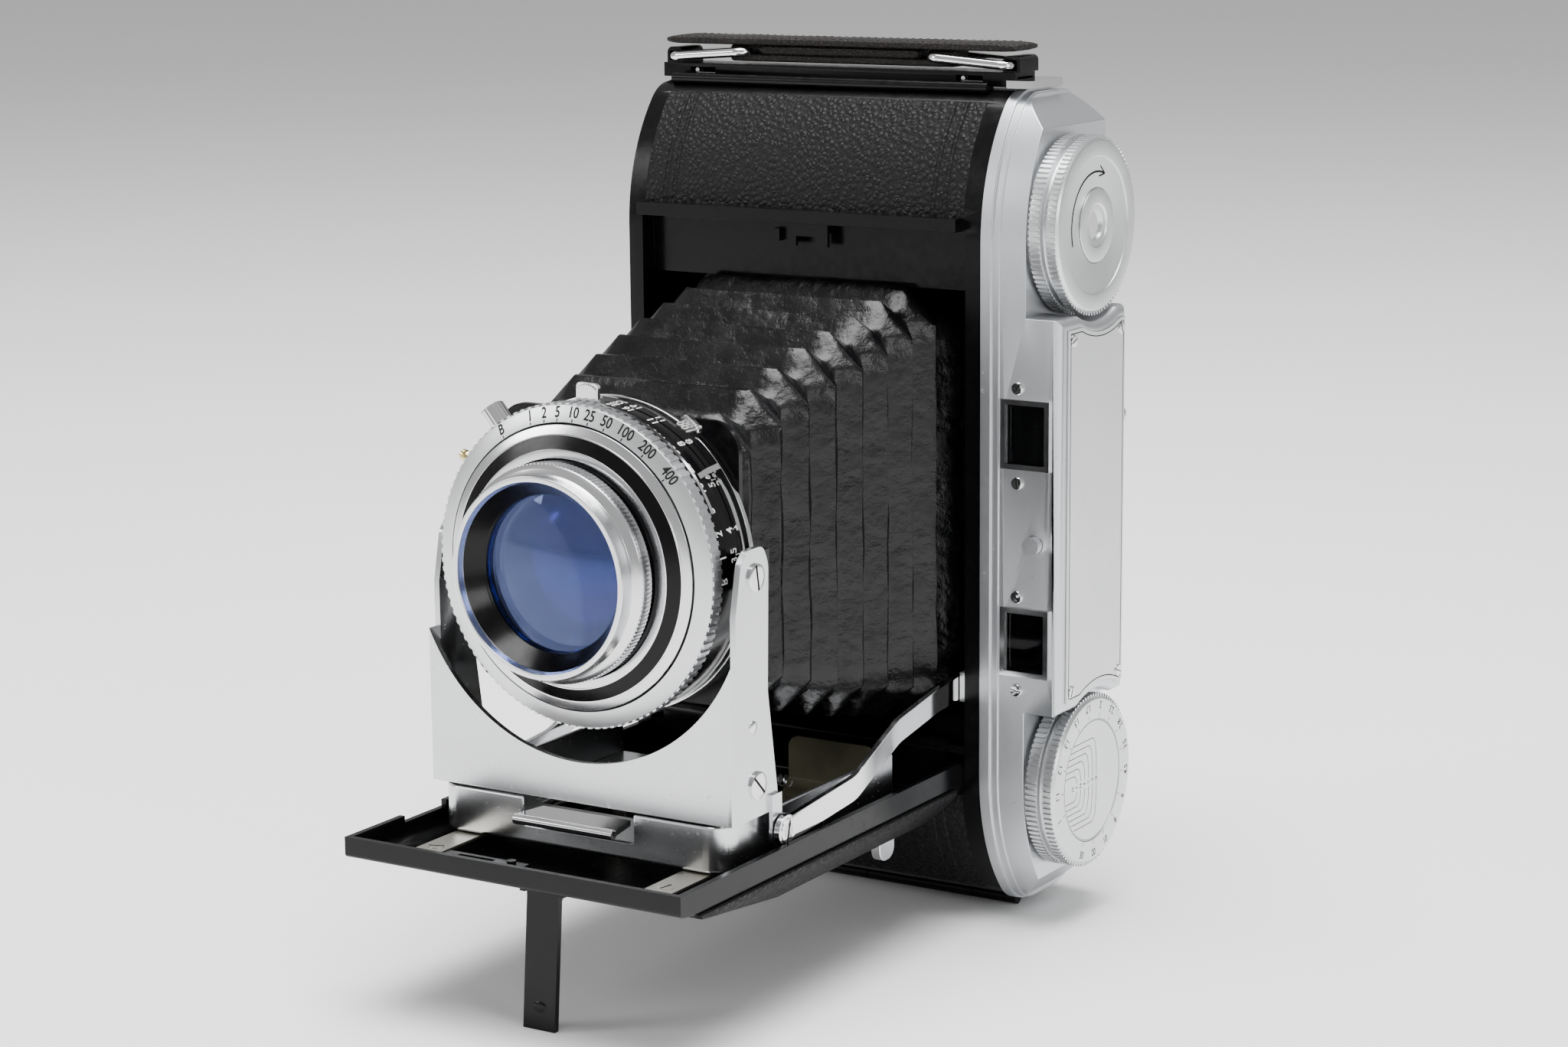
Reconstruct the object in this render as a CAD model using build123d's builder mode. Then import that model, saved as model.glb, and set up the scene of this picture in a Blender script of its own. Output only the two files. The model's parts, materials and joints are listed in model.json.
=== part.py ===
"""Folding roll-film camera standing on its lower end, with its bed open.

Millimetres, +Z up. The lens looks along -Y. The origin is the mouth of the tripod socket:
x = 0 is the face of the base plate, y = 0 the middle of the body's depth, z = 0 the middle
of its length. The top housing with the knobs is on the +X side.
"""
import os
from math import asin, cos, degrees, hypot, radians, sin, sqrt

from build123d import *

os.makedirs("parts", exist_ok=True)

# ---------------------------------------------------------------- driving sizes
body_length = 165.0        # along Z
body_depth = 35.0          # along Y
body_width = 83.2          # base plate face to the top of the casting, along X
base_thickness = 1.2
side_rim = 3.6             # frame left beside the opening
wall = 1.6                 # casting wall
nose_radius = 40.0         # long curve of the front towards each end
nose_rise = 29.0           # length of each curved end
end_radius = 9.0           # tighter corner that closes the nose curve
rear_radius = 9.0
cover_depth = 9.0          # how much of the depth the rear cover takes

clear = 0.2                # ordinary gap between pieces that move past each other
running = 0.05             # radial gap of a running fit
skin = 0.7                 # leather thickness
plate = 1.2                # usual sheet metal

socket_radius = 2.55       # 1/4 inch tripod thread, minor radius
socket_length = 6.0
spool_flange_radius = 11.6
spool_core_radius = 5.0
knob_radius = 17.8
knob_z = 56.5              # knob centres, above and below the middle
deck_height = 9.6          # housing deck above the casting
hump_height = 17.3         # rangefinder hump above the casting
hump_half = 39.6
shaft_radius = 3.0

door_reach = 103.9         # door tip in front of the body
door_width = 75.4
door_depth = 11.8          # metal only, at its deepest
door_rim_z = -51.4
hinge_rise = 1.7           # door hinge axis above the rim
hinge_inset = 1.5          # and behind the front plane
hinge_pin_radius = 1.2
focus_travel = 12.3        # forward travel from far to 1 m

standard_pivot_reach = 72.2
standard_pivot_z = -39.1
standard_half_width = 34.0
strut_front_reach = 65.1   # front pivot of the strut, in front of the body
strut_front_z = -49.3
strut_rear_depth = 4.0     # rear pivot, behind the front plane
strut_rear_z = -36.1

shutter_radius = 29.6
speed_ring_radius = 30.7
speed_ring_reach = 80.9
barrel_radius = 20.7
rim_radius = 19.0
lens_reach = 92.9
glass_radius = 14.8
leg_length = 27.5
leg_width = 7.2
strap_width = 11.0

# ---------------------------------------------------------------- worked out
front = -body_depth / 2
rear = body_depth / 2
half = body_length / 2
lens_x = body_width / 2
parting = rear - cover_depth
opening_x = (side_rim, body_width - side_rim)
opening_top = 56.0
opening_bottom = -52.5
hinge_y = front + hinge_inset
hinge_z = door_rim_z + hinge_rise
foot_radius = 1.4
foot_z = -half - 0.1 - foot_radius
ground_z = foot_z - foot_radius
gate_y = parting - 1.6
chamber_inner = 44.7
deck_x = body_width + deck_height
hump_x = body_width + hump_height
hump_back = 12.0
housing_inset = 0.3
hump_front = front + housing_inset
spool_x = (lens_x - 33.0, lens_x + 33.0)
# the standard folds flat against the closed door, which brings the lens down to this height
folded_lens_z = hinge_z + (hinge_y - front + standard_pivot_reach) + standard_pivot_z


# ---------------------------------------------------------------- shared shapes
def block(x, y, z, mode=Mode.ADD):
    """A box between pairs of limits, joined to the piece being built."""
    with Locations(((x[0] + x[1]) / 2, (y[0] + y[1]) / 2, (z[0] + z[1]) / 2)):
        Box(x[1] - x[0], y[1] - y[0], z[1] - z[0], mode=mode)


def rod_x(x, y, z, radius, mode=Mode.ADD):
    """A cylinder along X between two coordinates."""
    with Locations(Location(((x[0] + x[1]) / 2, y, z), (0, 90, 0))):
        Cylinder(radius, x[1] - x[0], mode=mode)


def rod_y(x, y, z, radius, mode=Mode.ADD):
    """A cylinder along Y between two coordinates."""
    with Locations(Location((x, (y[0] + y[1]) / 2, z), (90, 0, 0))):
        Cylinder(radius, y[1] - y[0], mode=mode)


def side_plate(x, points, radii=0.0, mode=Mode.ADD):
    """A plate between two X coordinates, cut to an outline of (y, z) corners."""
    with BuildSketch(Plane.YZ.offset(x[0])) as outline:
        with BuildLine():
            FilletPolyline(*points, radius=radii, close=True)
        make_face()
    extrude(outline.sketch, amount=x[1] - x[0], mode=mode)


def front_plate(y, points, radii=0.0, mode=Mode.ADD):
    """A plate between two Y coordinates, cut to an outline of (x, z) corners."""
    with BuildSketch(Plane.XZ.offset(-y[1])) as outline:
        with BuildLine():
            FilletPolyline(*points, radius=radii, close=True)
        make_face()
    extrude(outline.sketch, amount=y[1] - y[0], mode=mode)


def lathe_y(points, x=None, z=0.0, mode=Mode.ADD):
    """A turned piece about a line along Y, from (radius, y) corners."""
    x = lens_x if x is None else x
    with BuildSketch(Plane(origin=(x, 0, z), x_dir=(1, 0, 0), z_dir=(0, 0, 1))) as section:
        with BuildLine():
            Polyline(*points, close=True)
        make_face()
    revolve(section.sketch, axis=Axis((x, 0, z), (0, 1, 0)), mode=mode)


def lathe_x(points, y, z, mode=Mode.ADD):
    """A turned piece about a line along X, from (radius, x) corners."""
    with BuildSketch(Plane(origin=(0, y, z), x_dir=(0, 0, 1), z_dir=(0, 1, 0))) as section:
        with BuildLine():
            Polyline(*points, close=True)
        make_face()
    revolve(section.sketch, axis=Axis((0, y, z), (1, 0, 0)), mode=mode)


def body_outline(inset=0.0, mode=Mode.ADD):
    """The body's end view: flat front and back, long nose curves, round corners."""
    nose_angle = asin((nose_rise - end_radius) / (nose_radius - end_radius))
    nose_z = half - nose_rise
    end_y = front + nose_radius - (nose_radius - end_radius) * cos(nose_angle)
    turn = degrees(nose_angle)
    with BuildLine() as line:
        for up in (1, -1):
            CenterArc((front + nose_radius, up * nose_z), nose_radius - inset, 180, -up * turn)
            CenterArc((end_y, up * (half - end_radius)), end_radius - inset,
                      180 - up * turn, -up * (90 - turn))
            Line((end_y, up * (half - inset)), (rear - rear_radius, up * (half - inset)))
            CenterArc((rear - rear_radius, up * (half - rear_radius)), rear_radius - inset,
                      up * 90, -up * 90)
        Line((front + inset, nose_z), (front + inset, -nose_z))
        Line((rear - inset, half - rear_radius), (rear - inset, rear_radius - half))
    make_face(line.edges(), mode=mode)


def body_slab(x, inset=0.0, mode=Mode.ADD):
    """The body's outline drawn out between two X coordinates."""
    with BuildSketch(Plane.YZ.offset(x[0])) as outline:
        body_outline(inset)
    extrude(outline.sketch, amount=x[1] - x[0], mode=mode)


def save(piece, name):
    """Label a finished piece and write it to its own file."""
    piece.part.label = name
    export_step(piece.part, f"parts/{name}.step")


# ---------------------------------------------------------------- body
big = body_length          # longer than anything that is cut

with BuildPart() as base_plate:
    body_slab((0, base_thickness), inset=0.4)
    block((-1, base_thickness + 1), (parting - clear, rear + 1), (-big, big), Mode.SUBTRACT)
    rod_x((-1, base_thickness + 1), 0, 0, 6.0, Mode.SUBTRACT)
save(base_plate, "base_plate")

with BuildPart() as tripod_bush:
    rod_x((0, socket_length), 0, 0, 6.0)
    rod_x((0, socket_length), 0, 0, socket_radius, Mode.SUBTRACT)
save(tripod_bush, "tripod_bush")

leather_edge = 0.6         # metal left showing beside the front leather
with BuildPart() as body_casting:
    body_slab((base_thickness, body_width))
    block((0, body_width + 1), (parting, rear + 1), (-big, big), Mode.SUBTRACT)
    # room for the folded lens, open to the front through the door's opening
    block(opening_x, (front - 1, gate_y), (-chamber_inner + 1, chamber_inner - 1), Mode.SUBTRACT)
    block(opening_x, (front - 1, front + 4.2), (opening_bottom, opening_top), Mode.SUBTRACT)
    # the two film chambers, open to the back
    with BuildSketch(Plane.YZ.offset(side_rim)) as chambers:
        body_outline(wall)
        Rectangle(big, 2 * chamber_inner, mode=Mode.SUBTRACT)
        with Locations((front + 5.2 - big / 2, 0)):
            Rectangle(big, 2 * (opening_top + 2.2), mode=Mode.SUBTRACT)
    extrude(amount=opening_x[1] - side_rim, mode=Mode.SUBTRACT)
    # round relief for the shutter where it lies when the camera is folded
    rod_y(lens_x, (front - 1, gate_y), folded_lens_z, speed_ring_radius + 0.8, Mode.SUBTRACT)
    # picture window through the back wall
    block((lens_x - 28, lens_x + 28), (gate_y - 1, parting + 1), (-41.5, 41.5), Mode.SUBTRACT)
    # lip that the door's tip closes against
    front_lip = (front - 3.0, front + 1.0)
    block((side_rim + 0.6, body_width - side_rim - 0.6), front_lip, (opening_top, opening_top + 2.6))
    # recesses for the leather, above and below the opening
    with BuildSketch(Plane.YZ.offset(side_rim + leather_edge)) as leather_band:
        body_outline(-0.5)
        body_outline(skin, Mode.SUBTRACT)
        Rectangle(big, 2 * (opening_top + 2.6), mode=Mode.SUBTRACT)
        with Locations((big / 2 - 7.0, 0)):
            Rectangle(big, big * 2, mode=Mode.SUBTRACT)
    extrude(amount=body_width - 2 * (side_rim + leather_edge), mode=Mode.SUBTRACT)
    # holes for the tripod bush, the shafts, the spool pins and the hinge pins
    rod_x((0, socket_length + clear), 0, 0, 6.0, Mode.SUBTRACT)
    for end in (1, -1):
        rod_x((opening_x[1] - 1, body_width + 1), 0, end * knob_z, shaft_radius + running, Mode.SUBTRACT)
    for end in (1, -1):
        rod_x((1, side_rim + 1), 0, end * knob_z, 2.0, Mode.SUBTRACT)
    rod_x((side_rim - 1.5, body_width - side_rim + 1.5), hinge_y, hinge_z, hinge_pin_radius, Mode.SUBTRACT)
save(body_casting, "body_casting")

with BuildPart() as front_leather:
    with BuildSketch(Plane.YZ.offset(side_rim + leather_edge)) as leather_shape:
        body_outline()
        body_outline(skin, Mode.SUBTRACT)
        Rectangle(big, 2 * (opening_top + 2.6), mode=Mode.SUBTRACT)
        with Locations((big / 2 - 7.0, 0)):
            Rectangle(big, big * 2, mode=Mode.SUBTRACT)
    extrude(amount=body_width - 2 * (side_rim + leather_edge))
save(front_leather, "front_leather")

with BuildPart() as film_gate:
    gate_plate = 0.8
    block((side_rim + 2, body_width - side_rim - 2), (parting, parting + gate_plate), (-43.7, 43.7))
    block((lens_x - 28, lens_x + 28), (parting - 1, parting + 2), (-41.5, 41.5), Mode.SUBTRACT)
save(film_gate, "film_gate")

with BuildPart() as hinge_pins:
    rod_x((side_rim - 1.5, body_width - side_rim + 1.5), hinge_y, hinge_z, hinge_pin_radius)
    # the cover's hinge: a pin through three knuckles that stand on the body's lower end
    rod_x((2.0, body_width - 0.4), 0, foot_z, 0.7)
    for left, right in ((2.0, 12.0), (36.0, 47.2), (body_width - 10.4, body_width - 0.4)):
        rod_x((left, right), 0, foot_z, foot_radius)
save(hinge_pins, "hinge_pins")

with BuildPart() as spool_pivots:
    for end in (1, -1):
        rod_x((base_thickness, side_rim), 0, end * knob_z, 2.0)
        rod_x((side_rim, spool_x[0] + 2.0 if end < 0 else spool_x[0] - clear), 0, end * knob_z, 3.4)
save(spool_pivots, "spool_pivots")

# ---------------------------------------------------------------- top housing
flange_top = body_width + 4.2
shell = 1.2
end_lip = 1.2              # flat left at each end of the housing, above the flange
window_x = lens_x + 51.4
window_size = (9.2, 12.4)
window_z = (16.65, -25.15)
button_z = -5.1
button_radius = 1.8
eyepiece_radius = 2.3
eyepiece_x = deck_x + 4.0
with BuildPart() as top_housing:
    body_slab((body_width, deck_x), inset=housing_inset)
    bevel = deck_x - flange_top
    with BuildSketch(Plane.XZ.offset(-rear - 1)) as end_bevel:
        with BuildLine():
            Polyline((body_width, -half), (flange_top, -half), (flange_top, end_lip - half),
                     (deck_x, end_lip - half + bevel), (deck_x, half - end_lip - bevel),
                     (flange_top, half - end_lip), (flange_top, half), (body_width, half), close=True)
        make_face()
    extrude(amount=body_depth + 2, mode=Mode.INTERSECT)
    # rangefinder hump with hollow ends that clear the knobs
    block((deck_x - 1, hump_x), (hump_front, hump_back), (-hump_half, hump_half))
    for end in (1, -1):
        rod_x((deck_x, hump_x + 1), 0, end * knob_z, knob_radius + 1.0, Mode.SUBTRACT)
    fillet(top_housing.faces().sort_by(Axis.X)[-1].edges(), radius=1.8)
    # flange with a step, standing a little proud of the casting
    body_slab((body_width, body_width + 2.3), inset=-0.5)
    body_slab((body_width + 2.3, flange_top - 0.3), inset=0.0)
    # hollow inside
    body_slab((body_width - 1, flange_top - 1), inset=3.2, mode=Mode.SUBTRACT)
    with BuildSketch(Plane.YZ.offset(flange_top - 2)) as deck_hollow:
        body_outline(4.0)
        for end in (1, -1):
            with Locations((0, end * (half - 9.5 + big / 2))):
                Rectangle(big, big, mode=Mode.SUBTRACT)
    extrude(amount=deck_x - shell - flange_top + 2, mode=Mode.SUBTRACT)
    block((body_width, hump_x - shell), (hump_front + shell, hump_back - shell),
          (-hump_half + 4.5, hump_half - 4.5), Mode.SUBTRACT)
    # windows, eyepiece, button and shaft holes
    for z in window_z:
        block((window_x - window_size[0] / 2, window_x + window_size[0] / 2),
              (hump_front - 1, hump_front + shell + 1),
              (z - window_size[1] / 2, z + window_size[1] / 2), Mode.SUBTRACT)
    rod_y(eyepiece_x, (hump_back - shell - 1, hump_back + 1), window_z[0], eyepiece_radius, Mode.SUBTRACT)
    rod_y(window_x + 2, (hump_front - 1, hump_front + shell + 1), button_z,
          button_radius + running, Mode.SUBTRACT)
    for end in (1, -1):
        rod_x((deck_x - shell - 1, deck_x + 1), 0, end * knob_z, shaft_radius + running, Mode.SUBTRACT)
save(top_housing, "top_housing")

with BuildPart() as housing_plate:
    label_thickness = 0.4
    block((hump_x, hump_x + label_thickness), (front + 3.2, hump_back - 1.6),
          (-hump_half + 2.2, hump_half - 2.2))
    for end in (1, -1):
        rod_x((hump_x - 1, hump_x + 1), 0, end * knob_z, knob_radius + 3.0, Mode.SUBTRACT)
save(housing_plate, "housing_plate")

with BuildPart() as housing_screws:
    for y in (front + 5.2, hump_back - 3.4):
        for end in (1, -1):
            head = (hump_x + label_thickness, hump_x + label_thickness + 0.25)
            rod_x(head, y, end * (hump_half - 4.4), 1.2)
    for z in (25.8, 6.9, -16.0, -35.0):
        rod_y(body_width + 8.0, (hump_front - 0.5, hump_front), z, 1.25)
save(housing_screws, "housing_screws")

with BuildPart() as window_frames:
    frame_border = 0.75
    for z in window_z:
        block((window_x - window_size[0] / 2 - frame_border, window_x + window_size[0] / 2 + frame_border),
              (hump_front - 0.6, hump_front),
              (z - window_size[1] / 2 - frame_border, z + window_size[1] / 2 + frame_border))
        block((window_x - window_size[0] / 2 + 0.3, window_x + window_size[0] / 2 - 0.3),
              (hump_front - 1, hump_front + 1),
              (z - window_size[1] / 2 + 0.3, z + window_size[1] / 2 - 0.3), Mode.SUBTRACT)
    lathe_y([(eyepiece_radius - 0.4, hump_back), (eyepiece_radius + 1.1, hump_back),
             (eyepiece_radius + 0.9, hump_back + 1.2), (eyepiece_radius - 0.4, hump_back + 1.2)],
            eyepiece_x, window_z[0])
save(window_frames, "window_frames")

with BuildPart() as window_glasses:
    for z in window_z:
        block((window_x - window_size[0] / 2, window_x + window_size[0] / 2), (hump_front, hump_front + 0.8),
              (z - window_size[1] / 2, z + window_size[1] / 2))
    rod_y(eyepiece_x, (hump_back - 0.9, hump_back), window_z[0], eyepiece_radius)
save(window_glasses, "window_glasses")

with BuildPart() as rangefinder_block:
    block((body_width, body_width + 2), (front + 5, hump_back - 4), (-33, 25))
    for z in window_z:
        block((body_width + 2, body_width + 14), (front + 7, front + 17), (z - 5, z + 5))
        block((body_width + 3, body_width + 15), (front + 6, front + 14), (z - 3.8, z + 3.8), Mode.SUBTRACT)
save(rangefinder_block, "rangefinder_block")

with BuildPart() as door_button:
    rod_y(window_x + 2, (hump_front - 1.9, hump_front + 5.0), button_z, button_radius)
save(door_button, "door_button")

with BuildPart() as door_catch:
    catch_y = front + 1.0
    block((lens_x - 6, lens_x + 6), (catch_y, catch_y + 0.8), (opening_top - 5.0, opening_top - clear))
    block((lens_x - 6, lens_x - 4.5), (catch_y - 1.4, catch_y), (opening_top - 4.0, opening_top - 1.5))
    block((lens_x - 1.4, lens_x + 3.4), (catch_y - 1, catch_y + 1), (opening_top - 6, opening_top - 3),
          Mode.SUBTRACT)
save(door_catch, "door_catch")

# ---------------------------------------------------------------- knobs and spool
knob_foot = deck_x + 0.15
lower_disc = (knob_foot + 0.4, knob_foot + 3.0)
upper_disc = (knob_foot + 4.2, knob_foot + 6.7)


def knob_profile(bore, recess_radius, recess_depth):
    """Corners (radius, x) of a two-disc knob with a recess in its face."""
    top = upper_disc[1]
    return [(bore, knob_foot), (knob_radius - 1.8, knob_foot), (knob_radius - 1.8, lower_disc[0]),
            (knob_radius, lower_disc[0]), (knob_radius, lower_disc[1]), (knob_radius - 1.2, lower_disc[1]),
            (knob_radius - 1.2, upper_disc[0]), (knob_radius, upper_disc[0]),
            (knob_radius, top - 0.5), (knob_radius - 0.5, top), (recess_radius, top),
            (recess_radius, top - recess_depth), (bore, top - recess_depth)]


with BuildPart() as wind_knob:
    lathe_x(knob_profile(shaft_radius, 13.6, 0.3), 0, knob_z)
    lathe_x([(4.0, upper_disc[1] - 0.3), (7.3, upper_disc[1] - 0.3), (7.3, upper_disc[1]),
             (4.0, upper_disc[1])], 0, knob_z)
save(wind_knob, "wind_knob")

with BuildPart() as wind_shaft:
    rod_x((spool_x[1] - 5.0, upper_disc[1] - 1.5), 0, knob_z, shaft_radius)
save(wind_shaft, "wind_shaft")

with BuildPart() as take_up_spool:
    flange = 1.0
    lathe_x([(0.001, spool_x[0]), (spool_flange_radius, spool_x[0]),
             (spool_flange_radius, spool_x[0] + flange),
             (spool_core_radius, spool_x[0] + flange), (spool_core_radius, spool_x[1] - flange),
             (spool_flange_radius, spool_x[1] - flange), (spool_flange_radius, spool_x[1]),
             (0.001, spool_x[1])], 0, knob_z)
    rod_x((spool_x[1] - 6, spool_x[1] + 1), 0, knob_z, shaft_radius + running, Mode.SUBTRACT)
    rod_x((spool_x[0] - 1, spool_x[0] + 5), 0, knob_z, shaft_radius + running, Mode.SUBTRACT)
save(take_up_spool, "take_up_spool")

dial_radius = 12.5
dial_post = 1.5
with BuildPart() as focus_knob:
    lathe_x(knob_profile(dial_post + running, dial_radius + 0.1, 1.6), 0, -knob_z)
    lathe_x([(dial_post + running, body_width + 3), (shaft_radius, body_width + 3), (shaft_radius, knob_foot),
             (dial_post + running, knob_foot)], 0, -knob_z)
save(focus_knob, "focus_knob")

with BuildPart() as focus_dial:
    rod_x((body_width, upper_disc[1] - 1.2), 0, -knob_z, dial_post)
    rod_x((upper_disc[1] - 1.4, upper_disc[1] - 0.1), 0, -knob_z, dial_radius)
save(focus_dial, "focus_dial")

roller_y = parting - 0.9
roller_z = chamber_inner + 1.9
for name, end in (("upper_roller", 1), ("lower_roller", -1)):
    with BuildPart() as roller:
        rod_x((spool_x[0] + 1.6, spool_x[1] - 1.6), roller_y, end * roller_z, 1.5)
        rod_x((side_rim + 0.1, opening_x[1] - 0.1), roller_y, end * roller_z, 0.7)
    save(roller, name)

# ---------------------------------------------------------------- rear cover
cover_wall = 1.2
cover_x = (0.4, body_width - 0.1)
window_hole = 4.0
red_z = (-20.0, 20.0)
red_x = 28.0
shutter_travel = 10.0
with BuildPart() as rear_cover:
    body_slab(cover_x)
    block((-1, body_width + 1), (front - 1, parting + 0.05), (-big, big), Mode.SUBTRACT)
    with BuildSketch(Plane.YZ.offset(cover_x[0] + cover_wall)) as hollow:
        body_outline(cover_wall)
    extrude(amount=cover_x[1] - cover_x[0] - 2 * cover_wall, mode=Mode.SUBTRACT)
    for z in red_z:
        rod_y(red_x, (rear - 3, rear + 1), z, window_hole, Mode.SUBTRACT)
    # slot for the window shutter's knob
    block((red_x - 1.4, red_x + 1.4), (rear - 3, rear + 1),
          (-shutter_travel / 2 - 1.4, shutter_travel / 2 + 1.4), Mode.SUBTRACT)
    # leaf and knuckles of the hinge at the lower end
    for left, right in ((12.3, 35.7), (47.5, body_width - 10.7)):
        rod_x((left, right), 0, foot_z, foot_radius)
        block((left, right), (0.0, parting + 2.5), (foot_z + 0.6, foot_z + foot_radius - 0.1))
        block((left, right), (parting + 0.3, parting + 2.5), (foot_z + 0.6, foot_z + 2.6))
        rod_x((left - 1, right + 1), 0, foot_z, 0.7 + running, Mode.SUBTRACT)
    # tongue that the latch holds at the upper end
    block((34, 48), (parting - 2.5, parting + 1.5), (half - wall - 1.2, half - wall - 0.2))
    block((34, 48), (parting + 0.3, parting + 1.5), (half - wall - 1.2, half - cover_wall + 0.2))
save(rear_cover, "rear_cover")

with BuildPart() as rear_leather:
    leather_z = half - rear_radius - 1
    block((6, body_width - 5), (rear, rear + skin), (-leather_z, leather_z))
    for z in red_z:
        rod_y(red_x, (rear - 3, rear + 2), z, window_hole, Mode.SUBTRACT)
    block((red_x - 1.4, red_x + 1.4), (rear - 3, rear + 2),
          (-shutter_travel / 2 - 1.4, shutter_travel / 2 + 1.4), Mode.SUBTRACT)
save(rear_leather, "rear_leather")

with BuildPart() as red_windows:
    for z in red_z:
        rod_y(red_x, (rear - cover_wall, rear), z, window_hole)
save(red_windows, "red_windows")

with BuildPart() as window_shutter:
    slide_y = (rear - cover_wall - 1.0, rear - cover_wall - 0.15)
    block((red_x - 6, red_x + 6), slide_y, (-32, 22))
    for z in red_z:
        rod_y(red_x, (slide_y[0] - 1, slide_y[1] + 1), z - shutter_travel, window_hole, Mode.SUBTRACT)
    rod_y(red_x, (slide_y[1], rear + skin + 1.2), -shutter_travel / 2, 1.2)
    rod_y(red_x, (rear + skin + clear, rear + skin + 1.6), -shutter_travel / 2, 2.2)
save(window_shutter, "window_shutter")

with BuildPart() as pressure_plate:
    plate_y = parting + 1.2
    block((side_rim + 3, body_width - side_rim - 3), (plate_y, plate_y + 0.8), (-43.5, 43.5))
    for x in (side_rim + 8, body_width - side_rim - 8):
        for end in (1, -1):
            rod_y(x, (plate_y + 0.8, rear - cover_wall - 1.4), end * 36, 2.0)
    for z in red_z:
        rod_y(red_x, (plate_y - 1, plate_y + 2), z, window_hole + 0.5, Mode.SUBTRACT)
save(pressure_plate, "pressure_plate")

# ---------------------------------------------------------------- strap and back latch
rail_x = (-0.7, 82.3)
rail_y = (-2.0, 6.5)
rail_z = (half + 0.6, half + 3.5)
strap_y = (rail_y[0] + rail_y[1]) / 2
link_outer = (1.9, 81.3)
link_length = 18.0
link_wire = 0.95
link_z = rail_z[1] + 1.35
link_rise = 1.3            # inner bar above the outer one
link_half = 5.6
with BuildPart() as strap_rail:
    block(rail_x, rail_y, rail_z)
    block((rail_x[0] + 1.2, rail_x[1] + 1), (rail_y[0] + 1, rail_y[1] - 1), (rail_z[0] - 1, rail_z[1] - 1),
          Mode.SUBTRACT)
    for x in (6.0, 69.0):
        block((x, x + 6), (rail_y[0] - 1, rail_y[0] + 1.5), (rail_z[0] + 0.9, rail_z[0] + 2.1), Mode.SUBTRACT)
    for x in (10.0, 70.0):
        for y in (rail_y[0] + 0.5, rail_y[1] - 0.5):
            block((x - 3, x + 3), (y - 0.5, y + 0.5), (half, rail_z[0]))
    # saddles that hold the wire links
    for x in link_outer:
        low = link_z - 1.1
        with BuildSketch(Plane.XZ.offset(-(strap_y - 4.0))) as saddle:
            with BuildLine():
                FilletPolyline((x - 1.9, rail_z[1]), (x - 1.9, link_z + 1.9), (x + 1.9, link_z + 1.9),
                               (x + 1.9, rail_z[1]), radius=[0, 1.2, 1.2, 0], close=True)
            make_face()
        extrude(saddle.sketch, amount=-8.0)
        block((x - 1.2, x + 1.2), (strap_y - 5, strap_y + 5), (rail_z[1], link_z + 1.1), Mode.SUBTRACT)
        block((x - 1.9, x + 1.9), (strap_y - 4.0, strap_y + 4.0), (rail_z[1], rail_z[1] + 0.3))
    # bead along the front of the upper end, lying on the rounded edge
    rod_x((3.4, 77.7), front + 13.0, half + 0.54, 1.1)
save(strap_rail, "strap_rail")

with BuildPart() as latch_slide:
    slide_z = (rail_z[0] + 0.2, rail_z[0] + 1.0)
    block((rail_x[0] + 2.0, rail_x[1]), (rail_y[0] + 1.2, rail_y[1] - 1.2), slide_z)
    for x in (7.5, 70.5):
        rod_y(x + 0.0, (rail_y[0] + 0.2, rail_y[0] + 1.3), rail_z[0] + 1.5, 0.45)
        block((x - 0.45, x + 0.45), (rail_y[0] + 1.2, rail_y[0] + 1.5), (slide_z[0], rail_z[0] + 1.9))
    with BuildSketch(Plane.XY.offset(slide_z[0])) as tab:
        with Locations((rail_x[1] + 3.2, 0)):
            RectangleRounded(6.4, 14.5, 1.5)
    extrude(tab.sketch, amount=1.5)
save(latch_slide, "latch_slide")

for name, outer, inward in (("left_link", link_outer[0], 1), ("right_link", link_outer[1], -1)):
    with BuildPart() as link:
        along = (inward * link_length, 0, link_rise)
        across = (-inward * link_rise, 0, link_length)
        with BuildSketch(Plane(origin=(outer, strap_y, link_z), x_dir=along, z_dir=across)) as path:
            with Locations((hypot(link_length, link_rise) / 2, 0)):
                RectangleRounded(hypot(link_length, link_rise), 2 * link_half, 2.2)
        middle_of_side = (outer + inward * link_length / 2, strap_y + link_half, link_z + link_rise / 2)
        with BuildSketch(Plane(origin=middle_of_side, x_dir=(0, 1, 0), z_dir=along)) as wire:
            Circle(link_wire)
        sweep(wire.sketch, path=path.sketch.faces()[0].outer_wire())
    save(link, name)

with BuildPart() as carrying_strap:
    bar_z = link_z + link_rise
    strap_half = strap_width / 2
    strap_low = bar_z + link_wire + 0.35
    inner_bars = ((link_outer[0] + link_length, -1), (link_outer[1] - link_length, 1))
    block((inner_bars[0][0] - 4.2, inner_bars[1][0] + 4.2), (strap_y - 4.3, strap_y + 4.3),
          (rail_z[1] + 0.3, strap_low + 0.3))
    block((0.6, rail_x[1] + 0.2), (strap_y - strap_half, strap_y + strap_half), (strap_low, strap_low + 1.8))
    # room for the inner bars, which also slide outwards as the strap is lifted
    for x, outward in inner_bars:
        reach = sorted((x - outward * (link_wire + 0.3), x + outward * (link_wire + 2.2)))
        block(reach, (strap_y - 5, strap_y + 5), (bar_z - link_wire - 0.3, strap_low), Mode.SUBTRACT)
save(carrying_strap, "carrying_strap")

# ---------------------------------------------------------------- door and bed
tip_y = front - door_reach
heel_y = front - 0.4
door_x = (lens_x - door_width / 2, lens_x + door_width / 2)


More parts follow.
